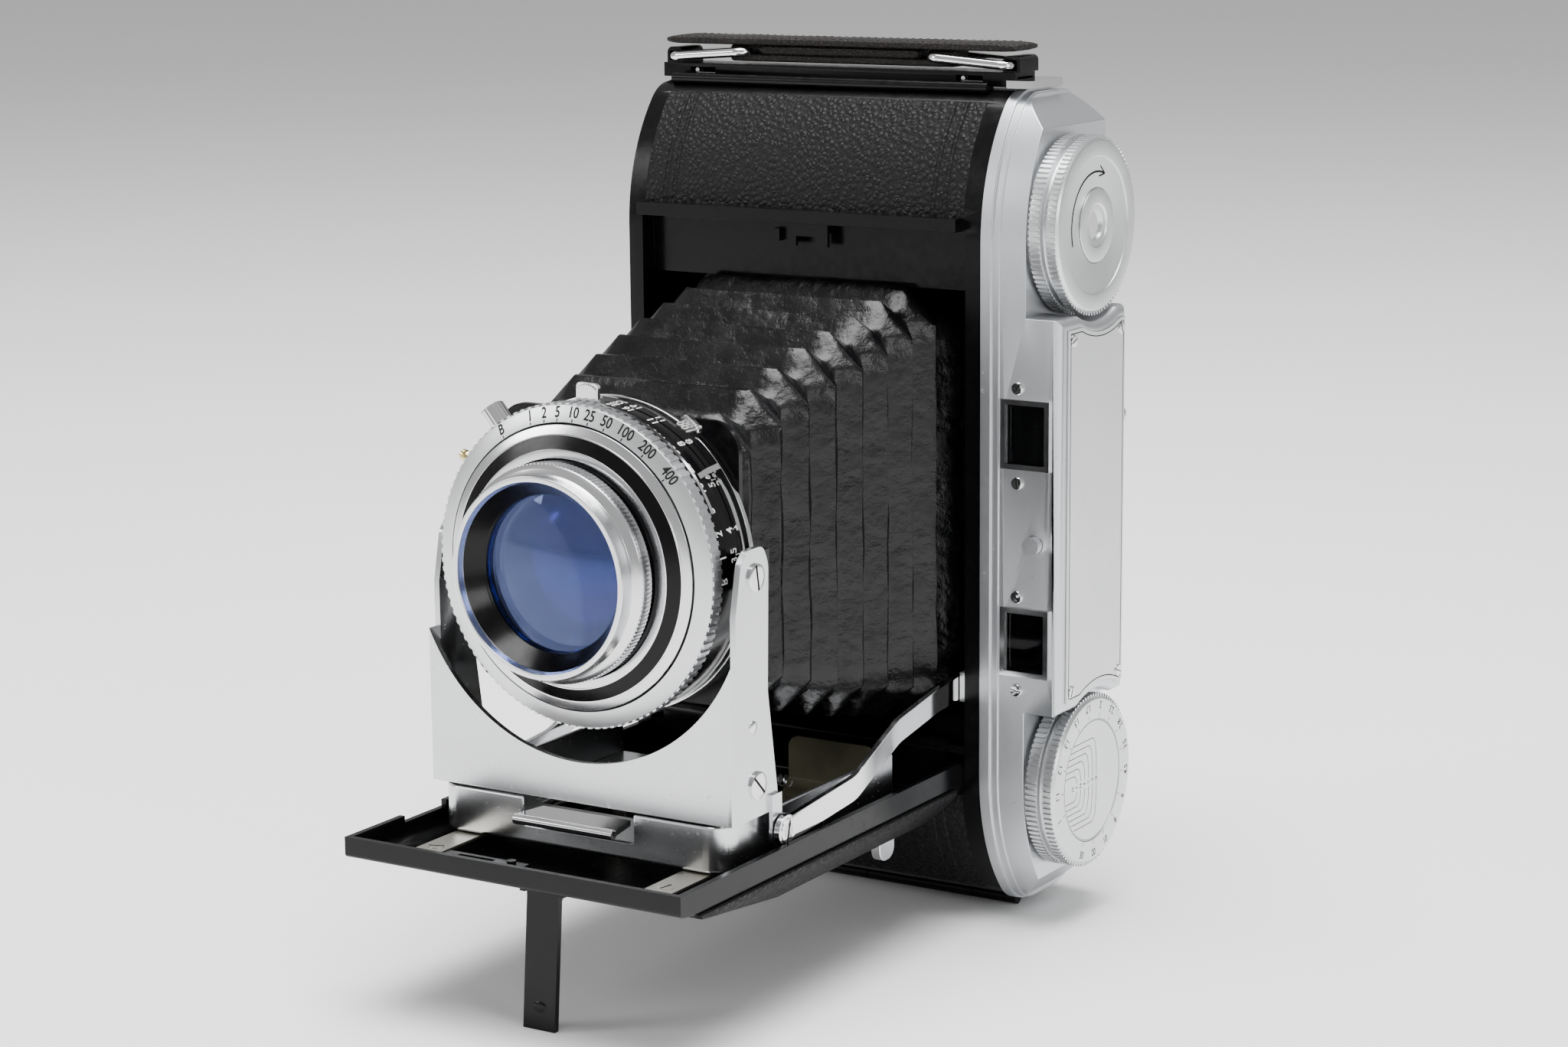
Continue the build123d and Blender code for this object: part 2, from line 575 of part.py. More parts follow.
def door_form(inset, lift, mode=Mode.ADD):
    """The door's hollow-tray shape, its skin moved in by inset and up to the rim plus lift."""
    top = door_rim_z + lift
    long_view = [(tip_y + inset, top), (tip_y + inset, door_rim_z - 3.9 + inset),
                 (tip_y + 14, door_rim_z - 6.2 + inset), (tip_y + 44, door_rim_z - door_depth + inset),
                 (heel_y - 7, door_rim_z - door_depth + inset), (heel_y - inset, door_rim_z - 7.5 + inset),
                 (heel_y - inset, top)]
    width = door_width / 2 - inset
    end_view = [(lens_x - width, top), (lens_x - width, door_rim_z - 5.2 + inset),
                (lens_x - width + 6.5, door_rim_z - door_depth + inset),
                (lens_x + width - 6.5, door_rim_z - door_depth + inset),
                (lens_x + width, door_rim_z - 5.2 + inset), (lens_x + width, top)]
    with BuildPart() as form:
        side_plate((door_x[0] - 2, door_x[1] + 2), long_view, [0, 0.8, 20, 25, 5, 1, 0])
        front_plate((tip_y - 2, heel_y + 2), end_view, [0, 3, 3, 3, 3, 0], Mode.INTERSECT)
    add(form.part, mode=mode)


with BuildPart() as door_shell:
    door_form(0, 0)
    door_form(plate, 3, Mode.SUBTRACT)
    # notch in the left rim, and the slot for the release lever
    block((door_x[0] - 1, door_x[0] + 3), (front - 87, front - 74), (door_rim_z - 1.3, door_rim_z + 1),
          Mode.SUBTRACT)
    block((lens_x + 26.5, lens_x + 32.0), (front - 23.2, front - 15.8), (-70, -60), Mode.SUBTRACT)
    # two knuckles on the door pin
    for left, right in ((8.0, 24.0), (59.2, 75.2)):
        rod_x((left, right), hinge_y, hinge_z, 2.1)
        block((left, right), (heel_y - plate, hinge_y - 0.6), (door_rim_z - 0.6, hinge_z + 0.4))
        rod_x((left - 1, right + 1), hinge_y, hinge_z, hinge_pin_radius + running, Mode.SUBTRACT)
    # ears that carry the leg
    leg_pivot = (front - 92.3, -58.6)
    for side in (-1, 1):
        x = lens_x + side * (leg_width / 2 + 0.8)
        block((x - 0.6, x + 0.6), (leg_pivot[0] - 1.2, leg_pivot[0] + 1.2), (leg_pivot[1] - 1.0, -57.2))
    rod_x((lens_x - leg_width / 2 - 1, lens_x + leg_width / 2 + 1), leg_pivot[0], leg_pivot[1], 0.6)
save(door_shell, "door_shell")

with BuildPart() as door_leather:
    door_form(-skin, 0)
    door_form(0, 1, Mode.SUBTRACT)
    block((0, body_width), (front - 200, front), (door_rim_z - 5.0, door_rim_z + 5), Mode.SUBTRACT)
    block((0, body_width), (front - 200, tip_y + 6), (-80, 0), Mode.SUBTRACT)
    block((0, body_width), (heel_y - 3, front + 5), (-80, 0), Mode.SUBTRACT)
    block((lens_x + 26.5, lens_x + 32.0), (front - 23.2, front - 15.8), (-70, -56), Mode.SUBTRACT)
    block((lens_x - leg_width / 2 - 1.6, lens_x + leg_width / 2 + 1.6),
          (leg_pivot[0] - 1.5, leg_pivot[0] + 1.5), (-70, -50), Mode.SUBTRACT)
save(door_leather, "door_leather")

rail_top = -54.8
rail_half = 26.0
with BuildPart() as bed_rails:
    for side in (-1, 1):
        x = lens_x + side * rail_half
        block((x - 3, x + 3), (front - 95, front - 24), (rail_top - 0.6, rail_top))
        block((x - 1.5, x + 1.5), (front - 30, front - 25), (door_rim_z - door_depth + plate, rail_top - 0.6))
save(bed_rails, "bed_rails")

with BuildPart() as bed_screws:
    for side in (-1, 1):
        for y in (front - 91, front - 27):
            with Locations((lens_x + side * rail_half, y, rail_top + 0.05)):
                Cylinder(1.6, 0.1)
save(bed_screws, "bed_screws")

with BuildPart() as latch_block:
    block((lens_x - 17, lens_x + 1), (tip_y + 1.25, tip_y + 5.5), (door_rim_z - 2.3, door_rim_z - 0.9))
    block((lens_x - 14, lens_x - 6), (tip_y + 2.5, tip_y + 4.5), (door_rim_z - 5, door_rim_z), Mode.SUBTRACT)
    with Locations((lens_x - 1.5, tip_y + 3.4, door_rim_z - 0.5)):
        Cylinder(0.9, 1.0)
save(latch_block, "latch_block")

with BuildPart() as bed_plate:
    floor = door_rim_z - door_depth + plate
    top = door_rim_z + 2.1
    side_plate((lens_x, lens_x + 20.5),
               [(front - 14.0, floor), (front - 9.4, floor), (front - 5.2, floor + 3.4), (front - 5.2, top),
                (front - 6.0, top), (front - 6.0, floor + 3.8), (front - 9.7, floor + 0.8),
                (front - 14.0, floor + 0.8)])
    fillet(bed_plate.edges().filter_by(Axis.Y).group_by(Axis.Z)[-1], radius=2.5)
save(bed_plate, "bed_plate")

with BuildPart() as leg:
    tilt = 5.5
    with BuildSketch(Plane.YZ.offset(lens_x - leg_width / 2)) as leg_side:
        with BuildLine():
            Polyline((leg_pivot[0] - 0.9, leg_pivot[1] + 0.7), (leg_pivot[0] + 0.9, leg_pivot[1] + 0.7),
                     (leg_pivot[0] + 0.9, leg_pivot[1] - 1.2), (leg_pivot[0] + 0.3, leg_pivot[1] - 2.2),
                     (leg_pivot[0] + 0.8 - leg_length * sin(radians(tilt)), ground_z),
                     (leg_pivot[0] - 0.4 - leg_length * sin(radians(tilt)), ground_z),
                     (leg_pivot[0] - 0.9, leg_pivot[1] - 2.2), close=True)
        make_face()
    extrude(amount=leg_width)
    rod_x((0, body_width), leg_pivot[0], leg_pivot[1], 0.6 + running, Mode.SUBTRACT)
save(leg, "leg")

with BuildPart() as release_lever:
    lever_x = lens_x + 28.5
    lever_y = (front - 22.4, front - 16.6)
    block((lever_x + 0.7, lever_x + 2.7), lever_y, (-67.7, -57.0))
    fillet(release_lever.edges().filter_by(Axis.X).group_by(Axis.Z)[0], radius=2.4)
    rod_y(lever_x, lever_y, -58.0, 1.5)
save(release_lever, "release_lever")

# ---------------------------------------------------------------- focusing carriage
tray_half = 32.6
tray_top = -45.6
tray_bottom = -54.6
tray_front = front - 81.5
tray_back = front - 19.5
tray_wall = 1.0
tab_half = 11.5
with BuildPart() as focus_carriage:
    with BuildSketch(Plane.XY.offset(tray_bottom)) as tray_plan:
        with BuildLine():
            FilletPolyline((lens_x - tray_half, tray_back), (lens_x - tray_half, tray_front),
                           (lens_x + tray_half, tray_front), (lens_x + tray_half, tray_back),
                           radius=[0, 5, 5, 0], close=True)
        make_face()
    extrude(amount=tray_top - tray_bottom)
    with BuildSketch(Plane.XY.offset(tray_bottom + tray_wall)) as tray_inside:
        with BuildLine():
            inner = tray_half - tray_wall
            FilletPolyline((lens_x - inner, tray_back + 1), (lens_x - inner, tray_front + tray_wall),
                           (lens_x + inner, tray_front + tray_wall), (lens_x + inner, tray_back + 1),
                           radius=[0, 4, 4, 0], close=True)
        make_face()
    extrude(amount=tray_top - tray_bottom, mode=Mode.SUBTRACT)
    # open floor, so that the lens can fold into the door
    block((lens_x - 23.5, lens_x + 23.5), (front - 60, tray_back + 1), (tray_bottom - 1, tray_bottom + 2),
          Mode.SUBTRACT)
    # gap in the front wall for the finger tab
    block((lens_x - tab_half - 1, lens_x + tab_half + 1), (tray_front - 1, tray_front + 2),
          (tray_top - 5.4, tray_top + 1), Mode.SUBTRACT)
    # lower front edge is rounded
    fillet(focus_carriage.edges().filter_by(Axis.X).group_by(Axis.Z)[0].group_by(Axis.Y)[0], radius=0.9)
    # ears that carry the lens standard
    standard_pivot = (front - standard_pivot_reach, standard_pivot_z)
    for side in (-1, 1):
        x = sorted((lens_x + side * tray_half, lens_x + side * (tray_half - tray_wall)))
        block(x, (standard_pivot[0] - 3.5, standard_pivot[0] + 3.5), (tray_top - 2, standard_pivot[1]))
        rod_x(x, *standard_pivot, 3.5)
        rod_x((x[0] - 1, x[1] + 1), *standard_pivot, 1.5 + running, Mode.SUBTRACT)
save(focus_carriage, "focus_carriage")

with BuildPart() as carriage_latch:
    with BuildSketch(Plane.XY.offset(-48.8)) as tab_plan:
        with BuildLine():
            Polyline((lens_x - tab_half + 1.5, tray_front + 3), (lens_x - tab_half, tray_front - 4.4),
                     (lens_x + tab_half, tray_front - 4.4), (lens_x + tab_half - 1.5, tray_front + 3),
                     close=True)
        make_face()
    extrude(tab_plan.sketch, amount=1.1)
    rod_x((lens_x - tab_half + 0.3, lens_x + tab_half - 0.3), tray_front - 4.4, -48.5, 1.0)
save(carriage_latch, "carriage_latch")

# ---------------------------------------------------------------- lens standard
arm_inner = standard_half_width - 1.2
panel_pivot = (standard_pivot[0], 0.0)
strut_front = (front - strut_front_reach, strut_front_z)
standard_bottom = -45.2
screw_head = 2.6
with BuildPart() as lens_standard:
    arm_profile = [(front - 81, standard_bottom), (front - 81, -16), (front - 77, 3), (front - 74.8, 5.4),
                   (front - 69.4, 5.4), (front - 67.6, 2.0), (front - 68.2, -22),
                   (front - 64.6, standard_bottom)]
    for side in (-1, 1):
        x = sorted((lens_x + side * arm_inner, lens_x + side * standard_half_width))
        side_plate(x, arm_profile, [0.3, 8, 1.5, 2.2, 2.2, 6, 10, 1.5])
        # lug for the strut, outside the arm
        x = sorted((lens_x + side * standard_half_width, lens_x + side * (standard_half_width + 0.7)))
        rod_x(x, *strut_front, 3.2)
        block(x, (strut_front[0] - 3.0, strut_front[0] + 0.4), (strut_front[1], -42.0))
    front_plate((front - 81, front - 79.8), [(lens_x - standard_half_width, standard_bottom),
                (lens_x + standard_half_width, standard_bottom), (lens_x + standard_half_width, -14),
                (lens_x - standard_half_width, -14)], [1.5, 1.5, 0, 0])
    rod_y(lens_x, (front - 82, front - 79), 0, 37.3, Mode.SUBTRACT)
    for side in (-1, 1):
        x = (lens_x + side * standard_half_width - 3, lens_x + side * standard_half_width + 3)
        for pivot in (panel_pivot, standard_pivot):
            rod_x(x, *pivot, 1.5, Mode.SUBTRACT)
save(lens_standard, "lens_standard")

with BuildPart() as standard_screws:
    for side in (-1, 1):
        head = sorted((lens_x + side * standard_half_width, lens_x + side * (standard_half_width + 0.6)))
        shank = sorted((lens_x + side * (arm_inner - 1.4), lens_x + side * standard_half_width))
        for pivot in (panel_pivot, standard_pivot):
            rod_x(head, *pivot, screw_head)
            rod_x(shank, *pivot, 1.5)
save(standard_screws, "standard_screws")

# ---------------------------------------------------------------- struts
strut_rear = (front + strut_rear_depth, strut_rear_z)
strut_inner = standard_half_width + 1.0
strut_half = 2.4
for name, side in (("left_strut", -1), ("right_strut", 1)):
    with BuildPart() as strut:
        x = sorted((lens_x + side * strut_inner, lens_x + side * (strut_inner + 1.2)))
        middle = [strut_front, (front - 40, -47.2), (front - 23, -39.8), (front - 8, -37.2), strut_rear]
        upper = [(y, z + strut_half) for y, z in middle]
        lower = [(y, z - strut_half) for y, z in reversed(middle)]
        side_plate(x, upper + lower, [0, 12, 10, 20, 0, 0, 20, 10, 12, 0])
        rod_x(x, *strut_front, 3.1)
        rod_x(x, *strut_rear, 2.6)
        # head of the front pivot
        head = sorted((lens_x + side * (strut_inner + 1.2), lens_x + side * (strut_inner + 1.4)))
        rod_x(head, *strut_front, screw_head - 0.2)
        rod_x((x[0] - 1, x[1] + 1), *strut_rear, 1.2 + running, Mode.SUBTRACT)
    save(strut, name)

with BuildPart() as strut_slide:
    for side in (-1, 1):
        x = sorted((lens_x + side * (strut_inner + 1.4), lens_x + side * (strut_inner + 2.5)))
        block(x, (front + 1.0, gate_y - 0.3), (strut_rear[1] - 3.0, strut_rear[1] + 3.0))
        pin = sorted((lens_x + side * (strut_inner - 0.4), lens_x + side * (strut_inner + 1.4)))
        rod_x(pin, *strut_rear, 1.2)
save(strut_slide, "strut_slide")

# ---------------------------------------------------------------- shutter and lens
panel_y = (front - 66.2, front - 65.0)
with BuildPart() as lens_panel:
    front_plate(panel_y, [(lens_x - 27, -27), (lens_x + 27, -27), (lens_x + 27, 27), (lens_x - 27, 27)], 6)
    strip = 32.6
    front_plate(panel_y, [(lens_x - strip, -4), (lens_x + strip, -4),
                         (lens_x + strip, 4), (lens_x - strip, 4)])
    rod_y(lens_x, (panel_y[0] - 1, panel_y[1] + 1), 0, 16.8, Mode.SUBTRACT)
    for side in (-1, 1):
        x = sorted((lens_x + side * 31.4, lens_x + side * 32.6))
        block(x, (panel_pivot[0], panel_y[1]), (-4, 4))
        rod_x(x, *panel_pivot, 3.6)
        rod_x((x[0] - 1, x[1] + 1), *panel_pivot, 1.5 + running, Mode.SUBTRACT)
save(lens_panel, "lens_panel")

case_front = front - 80.0
ring_inner = 29.8
with BuildPart() as shutter_case:
    lathe_y([(16.8, panel_y[0]), (shutter_radius, panel_y[0]), (shutter_radius, case_front),
             (barrel_radius + 0.1, case_front), (barrel_radius + 0.1, case_front + 1),
             (shutter_radius - 1, case_front + 1), (shutter_radius - 1, panel_y[0] - 1),
             (16.8, panel_y[0] - 1)])
    # rear edge ring with the index
    lathe_y([(shutter_radius, panel_y[0] - 0.2), (30.4, panel_y[0] - 0.2), (30.4, panel_y[0] - 1.2),
             (shutter_radius, panel_y[0] - 1.2)])
save(shutter_case, "shutter_case")

with BuildPart() as front_cap:
    lathe_y([(barrel_radius + 0.1, case_front), (27.0, case_front), (26.8, case_front - 2.2),
             (25.1, case_front - 2.8), (22.4, case_front - 4.0), (barrel_radius + 0.1, case_front - 4.0)])
save(front_cap, "front_cap")

with BuildPart() as speed_ring:
    ring_back = front - speed_ring_reach + 3.3
    lathe_y([(27.2, case_front - 0.1), (ring_inner, case_front - 0.1), (ring_inner, ring_back),
             (speed_ring_radius, ring_back), (speed_ring_radius, front - speed_ring_reach),
             (27.2, case_front - 2.0)])
save(speed_ring, "speed_ring")

with BuildPart() as lens_barrel:
    rim_y = front - lens_reach
    lathe_y([(glass_radius, panel_y[1] + 3.0), (16.7, panel_y[1] + 3.0), (16.7, case_front + 1),
             (barrel_radius, case_front + 1), (barrel_radius, rim_y + 4.1),
             (barrel_radius - 0.9, rim_y + 3.6), (rim_radius, rim_y + 3.2), (rim_radius, rim_y),
             (rim_radius - 1.1, rim_y), (rim_radius - 1.4, rim_y + 1.4),
             (glass_radius + 0.3, rim_y + 4.6), (glass_radius, rim_y + 5.0)])
save(lens_barrel, "lens_barrel")


def bulge_point(radius, middle, edge):
    """(r, y) of a point half way out on the spherical face from the middle to the edge."""
    rise = middle - edge
    sphere = (radius ** 2 + rise ** 2) / (2 * abs(rise))
    drop = sphere - sqrt(sphere ** 2 - (radius / 2) ** 2)
    return radius / 2, middle - drop if rise > 0 else middle + drop


def lens_element(radius, front_middle, front_edge, back_edge, back_middle):
    """A round glass with spherical faces, turned about the lens axis."""
    with BuildSketch(Plane(origin=(lens_x, 0, 0), x_dir=(1, 0, 0), z_dir=(0, 0, 1))) as section:
        with BuildLine():
            Line((0, back_middle), (0, front_middle))
            on_front = bulge_point(radius, front_middle, front_edge)
            ThreePointArc((0, front_middle), on_front, (radius, front_edge))
            Line((radius, front_edge), (radius, back_edge))
            on_back = bulge_point(radius, back_middle, back_edge)
            ThreePointArc((radius, back_edge), on_back, (0, back_middle))
        make_face()
    revolve(section.sketch, axis=Axis((lens_x, 0, 0), (0, 1, 0)))


with BuildPart() as front_element:
    lens_element(glass_radius, rim_y + 2.85, rim_y + 5.4, rim_y + 8.0, rim_y + 8.6)
save(front_element, "front_element")

with BuildPart() as rear_element:
    lens_element(glass_radius, panel_y[1] - 2.4, panel_y[1] - 2.0, panel_y[1] + 1.0, panel_y[1] + 2.6)
save(rear_element, "rear_element")

with BuildPart() as iris_blades:
    iris_y = front - 76.0
    rod_y(lens_x, (iris_y, iris_y + 0.4), 0, glass_radius - 0.1)
    with Locations(Location((lens_x, iris_y, 0), (90, 0, 0))):
        with PolarLocations(glass_radius / 2, 5):
            Box(glass_radius, 0.15, 4, mode=Mode.SUBTRACT)
save(iris_blades, "iris_blades")


def on_shutter(angle, radius):
    """(x, z) at an angle and radius about the lens axis, counted from +X towards +Z."""
    return lens_x + radius * cos(radians(angle)), radius * sin(radians(angle))


cable_hole = 1.3
cable_length = 5.0
cable_angle = 130.0
with BuildPart() as cable_socket:
    cable_y = front - 74.5
    foot = on_shutter(cable_angle, shutter_radius - 0.2)
    out = (cos(radians(cable_angle)), 0, sin(radians(cable_angle)))
    with BuildSketch(Plane(origin=(foot[0], cable_y, foot[1]), z_dir=out)) as socket_foot:
        Circle(1.9)
    extrude(amount=2.0)
    head_foot = (foot[0] + 2 * out[0], cable_y, foot[1] + 2 * out[2])
    with BuildSketch(Plane(origin=head_foot, z_dir=out)) as socket_head:
        Circle(2.5)
    extrude(amount=cable_length - 1.0)
    bore_foot = (foot[0] + out[0], cable_y, foot[1] + out[2])
    with BuildSketch(Plane(origin=bore_foot, z_dir=out)) as socket_bore:
        Circle(cable_hole)
    extrude(amount=cable_length + 1, mode=Mode.SUBTRACT)
    # keep clear of the case
    rod_y(lens_x, (front - 90, front - 60), 0, shutter_radius, Mode.SUBTRACT)
save(cable_socket, "cable_socket")


def ring_lever(y, angle, reach, half_width):
    """A lever on a thin ring about the shutter case, with a finger tab at one angle."""
    lathe_y([(shutter_radius + 0.06, y[0]), (30.5, y[0]), (30.5, y[1]), (shutter_radius + 0.06, y[1])])
    with BuildSketch(Plane.XZ.offset(-y[1])) as tab_face:
        with Locations(Location((lens_x, 0), angle)):
            with Locations(((29.9 + reach) / 2, 0)):
                RectangleRounded(reach - 29.9, 2 * half_width, 0.8)
    extrude(tab_face.sketch, amount=y[1] - y[0])


with BuildPart() as aperture_lever:
    ring_lever((front - 70.6, front - 69.8), 54, 34.0, 2.2)
    block((lens_x - 40, lens_x), (front - 90, front - 60), (-40, 40), Mode.SUBTRACT)
    block((lens_x - 40, lens_x + 40), (front - 90, front - 60), (-40, 8), Mode.SUBTRACT)
save(aperture_lever, "aperture_lever")

with BuildPart() as cocking_lever:
    ring_lever((front - 77.2, front - 76.4), 88, 34.0, 2.4)
    block((lens_x - 40, lens_x - 11), (front - 90, front - 60), (-40, 40), Mode.SUBTRACT)
    block((lens_x - 40, lens_x + 40), (front - 90, front - 60), (-40, 12), Mode.SUBTRACT)
save(cocking_lever, "cocking_lever")

with BuildPart() as release_arm:
    ring_lever((front - 73.6, front - 72.8), -140, 36.0, 2.6)
    block((lens_x - 5, lens_x + 40), (front - 90, front - 60), (-40, 40), Mode.SUBTRACT)
    block((lens_x - 40, lens_x + 40), (front - 90, front - 60), (-5, 40), Mode.SUBTRACT)
save(release_arm, "release_arm")

# ---------------------------------------------------------------- bellows
bellows_front = panel_y[1] + 0.1
bellows_back = gate_y - 0.3
with BuildPart() as bellows:
    for grow, mode in ((0, Mode.ADD), (-1.2, Mode.SUBTRACT)):
        with BuildSketch(Plane.XZ.offset(-bellows_back - (-grow))) as rear_frame:
            with Locations((lens_x, 0)):
                Rectangle(2 * (31.0 + grow), 2 * (43.0 + grow))
        with BuildSketch(Plane.XZ.offset(-bellows_front + (-grow))) as front_frame:
            with Locations((lens_x, 0)):
                Rectangle(2 * (24.5 + grow), 2 * (24.5 + grow))
        loft([rear_frame.sketch, front_frame.sketch], mode=mode)
save(bellows, "bellows")
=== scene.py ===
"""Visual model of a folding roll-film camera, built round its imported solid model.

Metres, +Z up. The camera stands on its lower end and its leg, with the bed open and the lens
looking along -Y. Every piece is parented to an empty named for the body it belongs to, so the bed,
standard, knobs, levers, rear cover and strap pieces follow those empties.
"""

import json
import logging
import math
from dataclasses import dataclass, field
from enum import Enum
from typing import Callable, Iterable, Optional, Sequence

import bmesh
import bpy
from mathutils import Matrix, Vector, noise


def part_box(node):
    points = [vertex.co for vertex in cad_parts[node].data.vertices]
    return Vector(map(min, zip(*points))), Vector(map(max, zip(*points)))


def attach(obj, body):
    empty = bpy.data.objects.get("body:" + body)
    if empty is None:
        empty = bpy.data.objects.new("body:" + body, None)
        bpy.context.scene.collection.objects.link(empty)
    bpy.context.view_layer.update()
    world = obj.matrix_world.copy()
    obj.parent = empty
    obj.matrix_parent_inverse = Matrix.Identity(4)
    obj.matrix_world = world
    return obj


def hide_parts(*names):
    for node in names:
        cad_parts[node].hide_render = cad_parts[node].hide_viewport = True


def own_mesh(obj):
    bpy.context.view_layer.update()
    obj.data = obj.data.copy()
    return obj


LOG = logging.getLogger("folding_camera")
MM = 0.001
LENS_X = 41.6
FRONT = -17.5
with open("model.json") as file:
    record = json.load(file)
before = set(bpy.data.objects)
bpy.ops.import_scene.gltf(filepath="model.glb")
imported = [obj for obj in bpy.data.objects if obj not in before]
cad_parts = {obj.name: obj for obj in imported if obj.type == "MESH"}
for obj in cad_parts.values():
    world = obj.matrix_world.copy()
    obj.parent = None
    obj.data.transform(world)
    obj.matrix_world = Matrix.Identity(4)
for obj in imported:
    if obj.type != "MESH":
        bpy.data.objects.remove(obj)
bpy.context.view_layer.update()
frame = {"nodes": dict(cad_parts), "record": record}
BODY_OF: dict[str, str] = {
    node: body for body, nodes in frame["record"]["behaviour"]["bodies"].items() for node in nodes
}

Point = tuple[float, float, float]
Corner = tuple[float, float, int]


# ------------------------------------------------------------------ node trees
class Shading:
    """A small builder round one material's node tree, with coordinates in millimetres."""

    def __init__(self, name: str) -> None:
        """Start a material with a Principled surface.

        Args:
            name: The material's name.
        """
        self.material = bpy.data.materials.new(f"{name}_finish")
        self.material.use_nodes = True
        self.tree = self.material.node_tree
        self.tree.nodes.clear()
        self.output = self.tree.nodes.new("ShaderNodeOutputMaterial")
        self.surface = self.tree.nodes.new("ShaderNodeBsdfPrincipled")
        self.tree.links.new(self.surface.outputs[0], self.output.inputs[0])
        coordinates = self.tree.nodes.new("ShaderNodeTexCoord")
        mapping = self.tree.nodes.new("ShaderNodeMapping")
        mapping.inputs["Scale"].default_value = (1000.0, 1000.0, 1000.0)
        self.tree.links.new(coordinates.outputs["Object"], mapping.inputs["Vector"])
        self.mm = mapping.outputs[0]

    def add(self, kind: str, settings: Optional[dict] = None, **inputs) -> bpy.types.Node:
        """Add a node and set or link its inputs.

        Args:
            kind: The node's type name.
            settings: Properties of the node itself.
            **inputs: Values or output sockets for inputs, named with underscores for spaces.

        Returns:
            The new node.
        """
        node = self.tree.nodes.new(kind)
        for key, value in (settings or {}).items():
            setattr(node, key, value)
        for key, value in inputs.items():
            numbered = key[0] == "i" and key[1:].isdigit()
            socket = node.inputs[int(key[1:]) if numbered else key.replace("_", " ")]
            self.feed(socket, value)
        return node

    def feed(self, socket: bpy.types.NodeSocket, value) -> None:
        """Link an output socket to an input, or set the input's own value."""
        if isinstance(value, bpy.types.NodeSocket):
            self.tree.links.new(value, socket)
        else:
            socket.default_value = value

    def set(self, **inputs) -> None:
        """Set or link inputs of the Principled surface."""
        for key, value in inputs.items():
            self.feed(self.surface.inputs[key.replace("_", " ")], value)

    def noise(self, scale: float, detail: float = 3.0,
              stretch: Optional[Point] = None) -> bpy.types.NodeSocket:
        """A noise pattern, its scale counted in cells per millimetre.

        Args:
            scale: Cells per millimetre.
            detail: Octaves of finer noise.
            stretch: Extra scale along X, Y and Z.

        Returns:
            The factor output.
        """
        vector = self.mm
        if stretch:
            vector = self.add("ShaderNodeMapping", Vector=self.mm, Scale=stretch).outputs[0]
        return self.add("ShaderNodeTexNoise", Vector=vector, Scale=scale, Detail=detail).outputs[0]

    def ramp(self, factor: bpy.types.NodeSocket, low: float, high: float, start: float,
             end: float) -> bpy.types.NodeSocket:
        """A factor remapped from low..high to start..end."""
        node = self.add("ShaderNodeMapRange", i0=factor, i1=low, i2=high, i3=start, i4=end)
        return node.outputs[0]

    def tint(self, factor: bpy.types.NodeSocket, dark: Sequence[float],
             light: Sequence[float]) -> bpy.types.NodeSocket:
        """A colour between two by a factor."""
        node = self.add("ShaderNodeMix", {"data_type": "RGBA"}, i0=factor)
        node.inputs[6].default_value = (*dark, 1.0)
        node.inputs[7].default_value = (*light, 1.0)
        return node.outputs[2]

    def math(self, operation: str, first, second=0.0) -> bpy.types.NodeSocket:
        """One arithmetic step between sockets or numbers."""
        return self.add("ShaderNodeMath", {"operation": operation}, i0=first, i1=second).outputs[0]

    def bump(self, *layers: tuple[bpy.types.NodeSocket, float, float]) -> None:
        """Stack bump layers on the surface.

        Args:
            *layers: Height socket, strength and depth in millimetres of each layer.
        """
        normal = None
        for height, strength, depth in layers:
            node = self.add("ShaderNodeBump", Height=height, Strength=strength, Distance=depth * MM)
            if normal is not None:
                self.tree.links.new(normal, node.inputs["Normal"])
            normal = node.outputs[0]
        self.tree.links.new(normal, self.surface.inputs["Normal"])


@dataclass(frozen=True)
class PlatedMetal:
    """Satin, brushed or polished metal, with pitting and handling marks."""

    name: str
    tint: Point = (0.66, 0.67, 0.69)
    roughness: float = 0.3
    grain: float = 0.25
    stretch: Point = (1.0, 1.0, 1.0)
    spots: float = 0.25

    def build(self) -> bpy.types.Material:
        """Make the material."""
        shade = Shading(self.name)
        cloud = shade.noise(0.06, 4.0)
        fine = shade.noise(6.0, 2.0, self.stretch)
        pits = shade.ramp(shade.noise(0.9, 6.0), 0.66, 0.76, 0.0, self.spots)
        worn = [c * 0.62 for c in self.tint]
        body = shade.tint(shade.ramp(cloud, 0.3, 0.7, 0.0, 1.0), [c * 0.93 for c in self.tint], self.tint)
        mixed = shade.add("ShaderNodeMix", {"data_type": "RGBA"}, i0=pits)
        shade.feed(mixed.inputs[6], body)
        mixed.inputs[7].default_value = (*worn, 1.0)
        shade.set(Base_Color=mixed.outputs[2], Metallic=1.0)
        rough = shade.math("ADD", shade.ramp(fine, 0.2, 0.8, self.roughness * 0.86, self.roughness * 1.12),
                           shade.math("MULTIPLY", pits, 0.5))
        shade.set(Roughness=rough)
        shade.bump((fine, self.grain, 0.012), (pits, 0.25, 0.02))
        return shade.material


